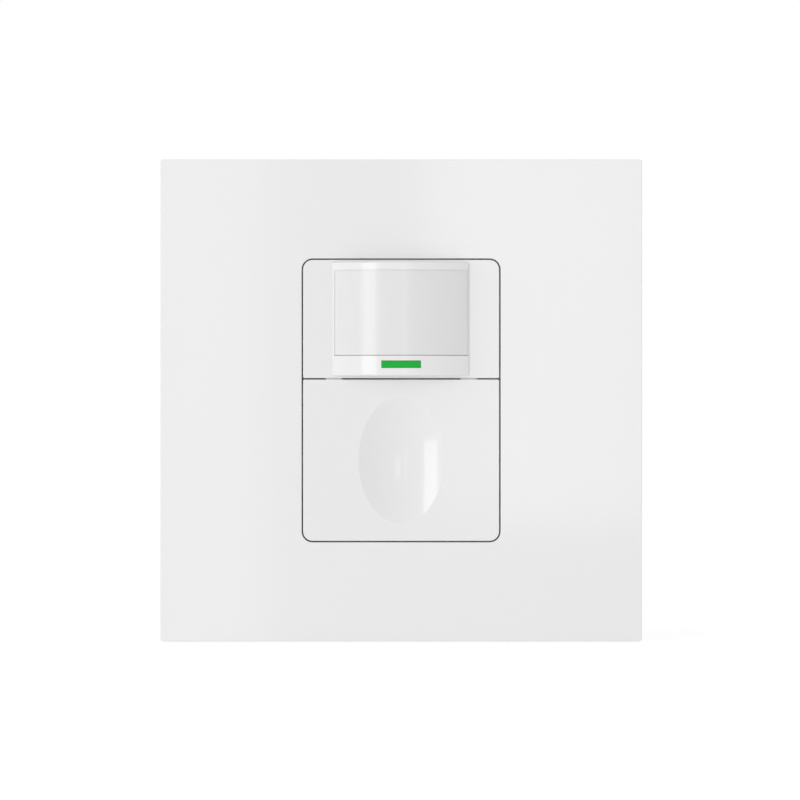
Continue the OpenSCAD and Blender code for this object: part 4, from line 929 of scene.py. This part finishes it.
class SWITCH_OT_button_springs(bpy.types.Operator):
    """Models the two coil springs under the button"""
    bl_idname = "switch.button_springs"
    bl_label = "Button springs"

    # Sides of the wire, and steps of one turn
    wire_sides = 12
    turn_steps = 24

    def execute(self, context):
        sizes = context.scene.switch_spring
        middle = (SPRINGS_LOW + SPRINGS_HIGH) / 2
        coils = self.coil(sizes)
        with editing(coils):
            bpy.ops.mesh.select_all(action="SELECT")
            bpy.ops.transform.translate(value=(SPRINGS_LOW.x + sizes.diameter / 2, 0, middle.z))
            bpy.ops.mesh.duplicate()
            bpy.ops.transform.translate(value=(SPRINGS_HIGH.x - SPRINGS_LOW.x - sizes.diameter, 0, 0))
        smooth(coils, angle=60)
        hand_over(
            coils, spring_wire(context.scene.switch_finishes), "switch", "screw_steel", "button_springs")
        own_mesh(coils)
        return {"FINISHED"}

    def coil(self, sizes):
        """Winds one spring round the depth axis from a circle of wire, and closes its ends."""
        half_wire = sizes.wire / 2
        bpy.ops.object.select_all(action="DESELECT")
        bpy.ops.mesh.primitive_circle_add(
            vertices=self.wire_sides, radius=half_wire,
            location=(sizes.diameter / 2 - half_wire, SPRINGS_LOW.y + half_wire, 0))
        coil = named("button_spring_coils")
        rise = SPRINGS_HIGH.y - SPRINGS_LOW.y - sizes.wire
        apply_modifier(
            coil, "SCREW", axis="Y", angle=2 * pi, screw_offset=rise / sizes.turns, iterations=sizes.turns,
            steps=self.turn_steps, render_steps=self.turn_steps)
        with editing(coil):
            bpy.ops.mesh.select_all(action="SELECT")
            bpy.ops.mesh.fill_holes(sides=0)
        outward(coil)
        return coil


class SWITCH_OT_metal_parts(bpy.types.Operator):
    """Finishes the yoke, the screws and the terminals"""
    bl_idname = "switch.metal_parts"
    bl_label = "Metal parts"

    def execute(self, context):
        finishes = context.scene.switch_finishes
        zinc = zinc_plate(finishes)
        yoke = cad_copy("mounting_yoke", "mounting_yoke_sheet")
        soften(yoke, context.scene.switch_back.yoke_edge)
        smooth(yoke)
        hand_over(yoke, zinc, "switch", "zinc_steel", "mounting_yoke")
        dress(zinc, "pir_can")
        dress(nickel_plate(finishes), "case_screws", "terminal_screws", "pir_base")
        dress(extruded_brass(finishes), "terminals")
        return {"FINISHED"}


class SWITCH_OT_rear_housing(bpy.types.Operator):
    """Models the grey wall box with softened moulded edges"""
    bl_idname = "switch.rear_housing"
    bl_label = "Wall box"

    def execute(self, context):
        box = cad_copy("rear_housing", "rear_housing_shell")
        soften(box, context.scene.switch_back.box_edge)
        smooth(box)
        hand_over(box, grey_nylon(context.scene.switch_finishes), "switch", "housing_nylon", "rear_housing")
        return {"FINISHED"}


class SWITCH_OT_electronics(bpy.types.Operator):
    """Finishes the circuit boards and what they carry"""
    bl_idname = "switch.electronics"
    bl_label = "Electronics"

    def execute(self, context):
        finishes = context.scene.switch_finishes
        dress(board_laminate(finishes), "control_board", "power_board")
        dress(
            black_plastic(finishes), "lens_shroud", "tact_switch", "tact_plunger", "microcontroller",
            "board_header", "relay", "rectifier", "inductor", "pir_filter", "smoothing_capacitor")
        dress(
            white_nylon(finishes), "board_spacers", "time_dial", "light_dial", "range_dial", "indicator_led")
        dress(blue_plastic(finishes), "trimmer_bodies", "varistor")
        dress(yellow_case(finishes), "mains_capacitor", "light_sensor")
        dress(fuse_glass(finishes), "fuse")
        return {"FINISHED"}


# Stage

class SWITCH_OT_stage(bpy.types.Operator):
    """Sets up the pale floor, the soft studio light and the camera"""
    bl_idname = "switch.stage"
    bl_label = "Studio"

    # Distance of the bright cards from the wall, behind the camera, in metres
    card_distance = 1.2
    # How far the camera stands to the right of the plate's middle, and above it
    camera_right = -0.2 * MM
    camera_up = 0.07 * MM

    def execute(self, context):
        studio = context.scene.switch_studio
        context.scene.view_settings.view_transform = "Standard"
        self.floor(studio)
        self.world(context.scene, studio)
        self.lamps()
        self.camera(context.scene, studio)
        return {"FINISHED"}

    def floor(self, studio):
        """Lays a pale floor that reads as white and keeps the shadow."""
        bpy.ops.object.select_all(action="DESELECT")
        bpy.ops.mesh.primitive_plane_add(
            size=studio.floor_size, location=(0, 0, PLATE_LOW.z - studio.floor_gap))
        floor = named("floor")
        floor.data.materials.append(pale_floor(studio))
        floor.visible_glossy = False

    def world(self, scene, studio):
        """Lights the object evenly, and shows white to the camera, to gloss and through glass."""
        scene.world = bpy.data.worlds.new("studio")
        scene.world.use_nodes = True
        tree = scene.world.node_tree
        fill = tree.nodes["Background"]
        fill.inputs["Color"].default_value = WHITE
        fill.inputs["Strength"].default_value = studio.fill
        white = add_node(tree, "ShaderNodeBackground", {"Color": WHITE, "Strength": 1.0})
        mix = add_node(
            tree, "ShaderNodeMixShader",
            links={0: viewing_rays(tree), 1: fill.outputs[0], 2: white.outputs[0]})
        tree.links.new(mix.outputs[0], tree.nodes["World Output"].inputs["Surface"])

    def lamps(self):
        """Hangs the side lamp, the strip that draws the highlights and the cards, in metres and degrees."""
        self.lamp("edge", angle=-75, distance=1.2, height=0.45, size=(0.6, 1.0), radiance=1.9)
        self.lamp("strip", angle=-28, distance=1.1, height=0.34, size=(0.25, 1.04), radiance=2.6)
        self.card("card_left", low=(-0.115, -0.13), high=(-0.061, 0.13), radiance=0.84)
        self.card("card_right", low=(0.012, -0.055), high=(0.115, 0.13), radiance=1.35)

    def lamp(self, name, angle, distance, height, size, radiance):
        """Hangs an area lamp at an angle to the right of the wall's normal, facing the object."""
        turn = radians(angle)
        place = (distance * sin(turn), -distance * cos(turn), height)
        self.area(name, place, (radians(90), 0, turn), size, radiance)

    def card(self, name, low, high, radiance):
        """Stands a bright card behind the camera, between two corners across and up."""
        low, high = Vector(low), Vector(high)
        across, up = (low + high) / 2
        self.area(name, (across, -self.card_distance, up), (radians(90), 0, 0), high - low, radiance)

    def area(self, name, place, turn, size, radiance):
        """Adds an area lamp of a given radiance that the camera itself doesn't see."""
        light = bpy.data.lights.new(name, "AREA")
        light.shape = "RECTANGLE"
        light.size, light.size_y = size
        light.energy = radiance * pi * size[0] * size[1]
        lamp = bpy.data.objects.new(name, light)
        lamp.location = place
        lamp.rotation_euler = turn
        lamp.visible_camera = False
        bpy.context.scene.collection.objects.link(lamp)

    def camera(self, scene, studio):
        """Puts the camera straight in front of the plate."""
        camera = bpy.data.objects.new("camera", bpy.data.cameras.new("camera"))
        camera.data.lens = studio.focal_length
        camera.data.sensor_width = 36
        camera.data.clip_start = 0.01
        camera.location = (self.camera_right, PLATE_LOW.y - studio.camera_distance, self.camera_up)
        camera.rotation_euler = (radians(90), 0, 0)
        scene.collection.objects.link(camera)
        scene.camera = camera


OPERATORS = (
    SWITCH_OT_cover_plate, SWITCH_OT_front_cover, SWITCH_OT_fresnel_lens, SWITCH_OT_light_pipe,
    SWITCH_OT_push_button, SWITCH_OT_button_springs, SWITCH_OT_metal_parts, SWITCH_OT_rear_housing,
    SWITCH_OT_electronics, SWITCH_OT_stage)

GROUPS = {
    "switch_plate": PlateSizes, "switch_face": FaceSizes, "switch_lens": LensSizes,
    "switch_spring": SpringSizes, "switch_back": BackSizes, "switch_finishes": Finishes,
    "switch_studio": Studio}


class SWITCH_PT_panel(bpy.types.Panel):
    """Lists the pieces of the switch and the studio"""
    bl_idname = "SWITCH_PT_panel"
    bl_label = "Motion sensor light switch"
    bl_space_type = "VIEW_3D"
    bl_region_type = "UI"
    bl_category = "Switch"

    def draw(self, context):
        for operator in OPERATORS:
            self.layout.operator(operator.bl_idname)


def register():
    """Registers the settings, the operators and the panel."""
    for entry in (*GROUPS.values(), *OPERATORS, SWITCH_PT_panel):
        bpy.utils.register_class(entry)
    for name, group in GROUPS.items():
        setattr(bpy.types.Scene, name, bpy.props.PointerProperty(type=group))


def unregister():
    """Takes the settings, the operators and the panel away again."""
    for name in GROUPS:
        delattr(bpy.types.Scene, name)
    for entry in (SWITCH_PT_panel, *reversed(OPERATORS), *reversed(GROUPS.values())):
        bpy.utils.unregister_class(entry)


def main():
    """Builds the switch and its studio."""
    register()
    for operator in OPERATORS:
        family, action = operator.bl_idname.split(".")
        getattr(getattr(bpy.ops, family), action)()


if __name__ == "__main__":
    main()
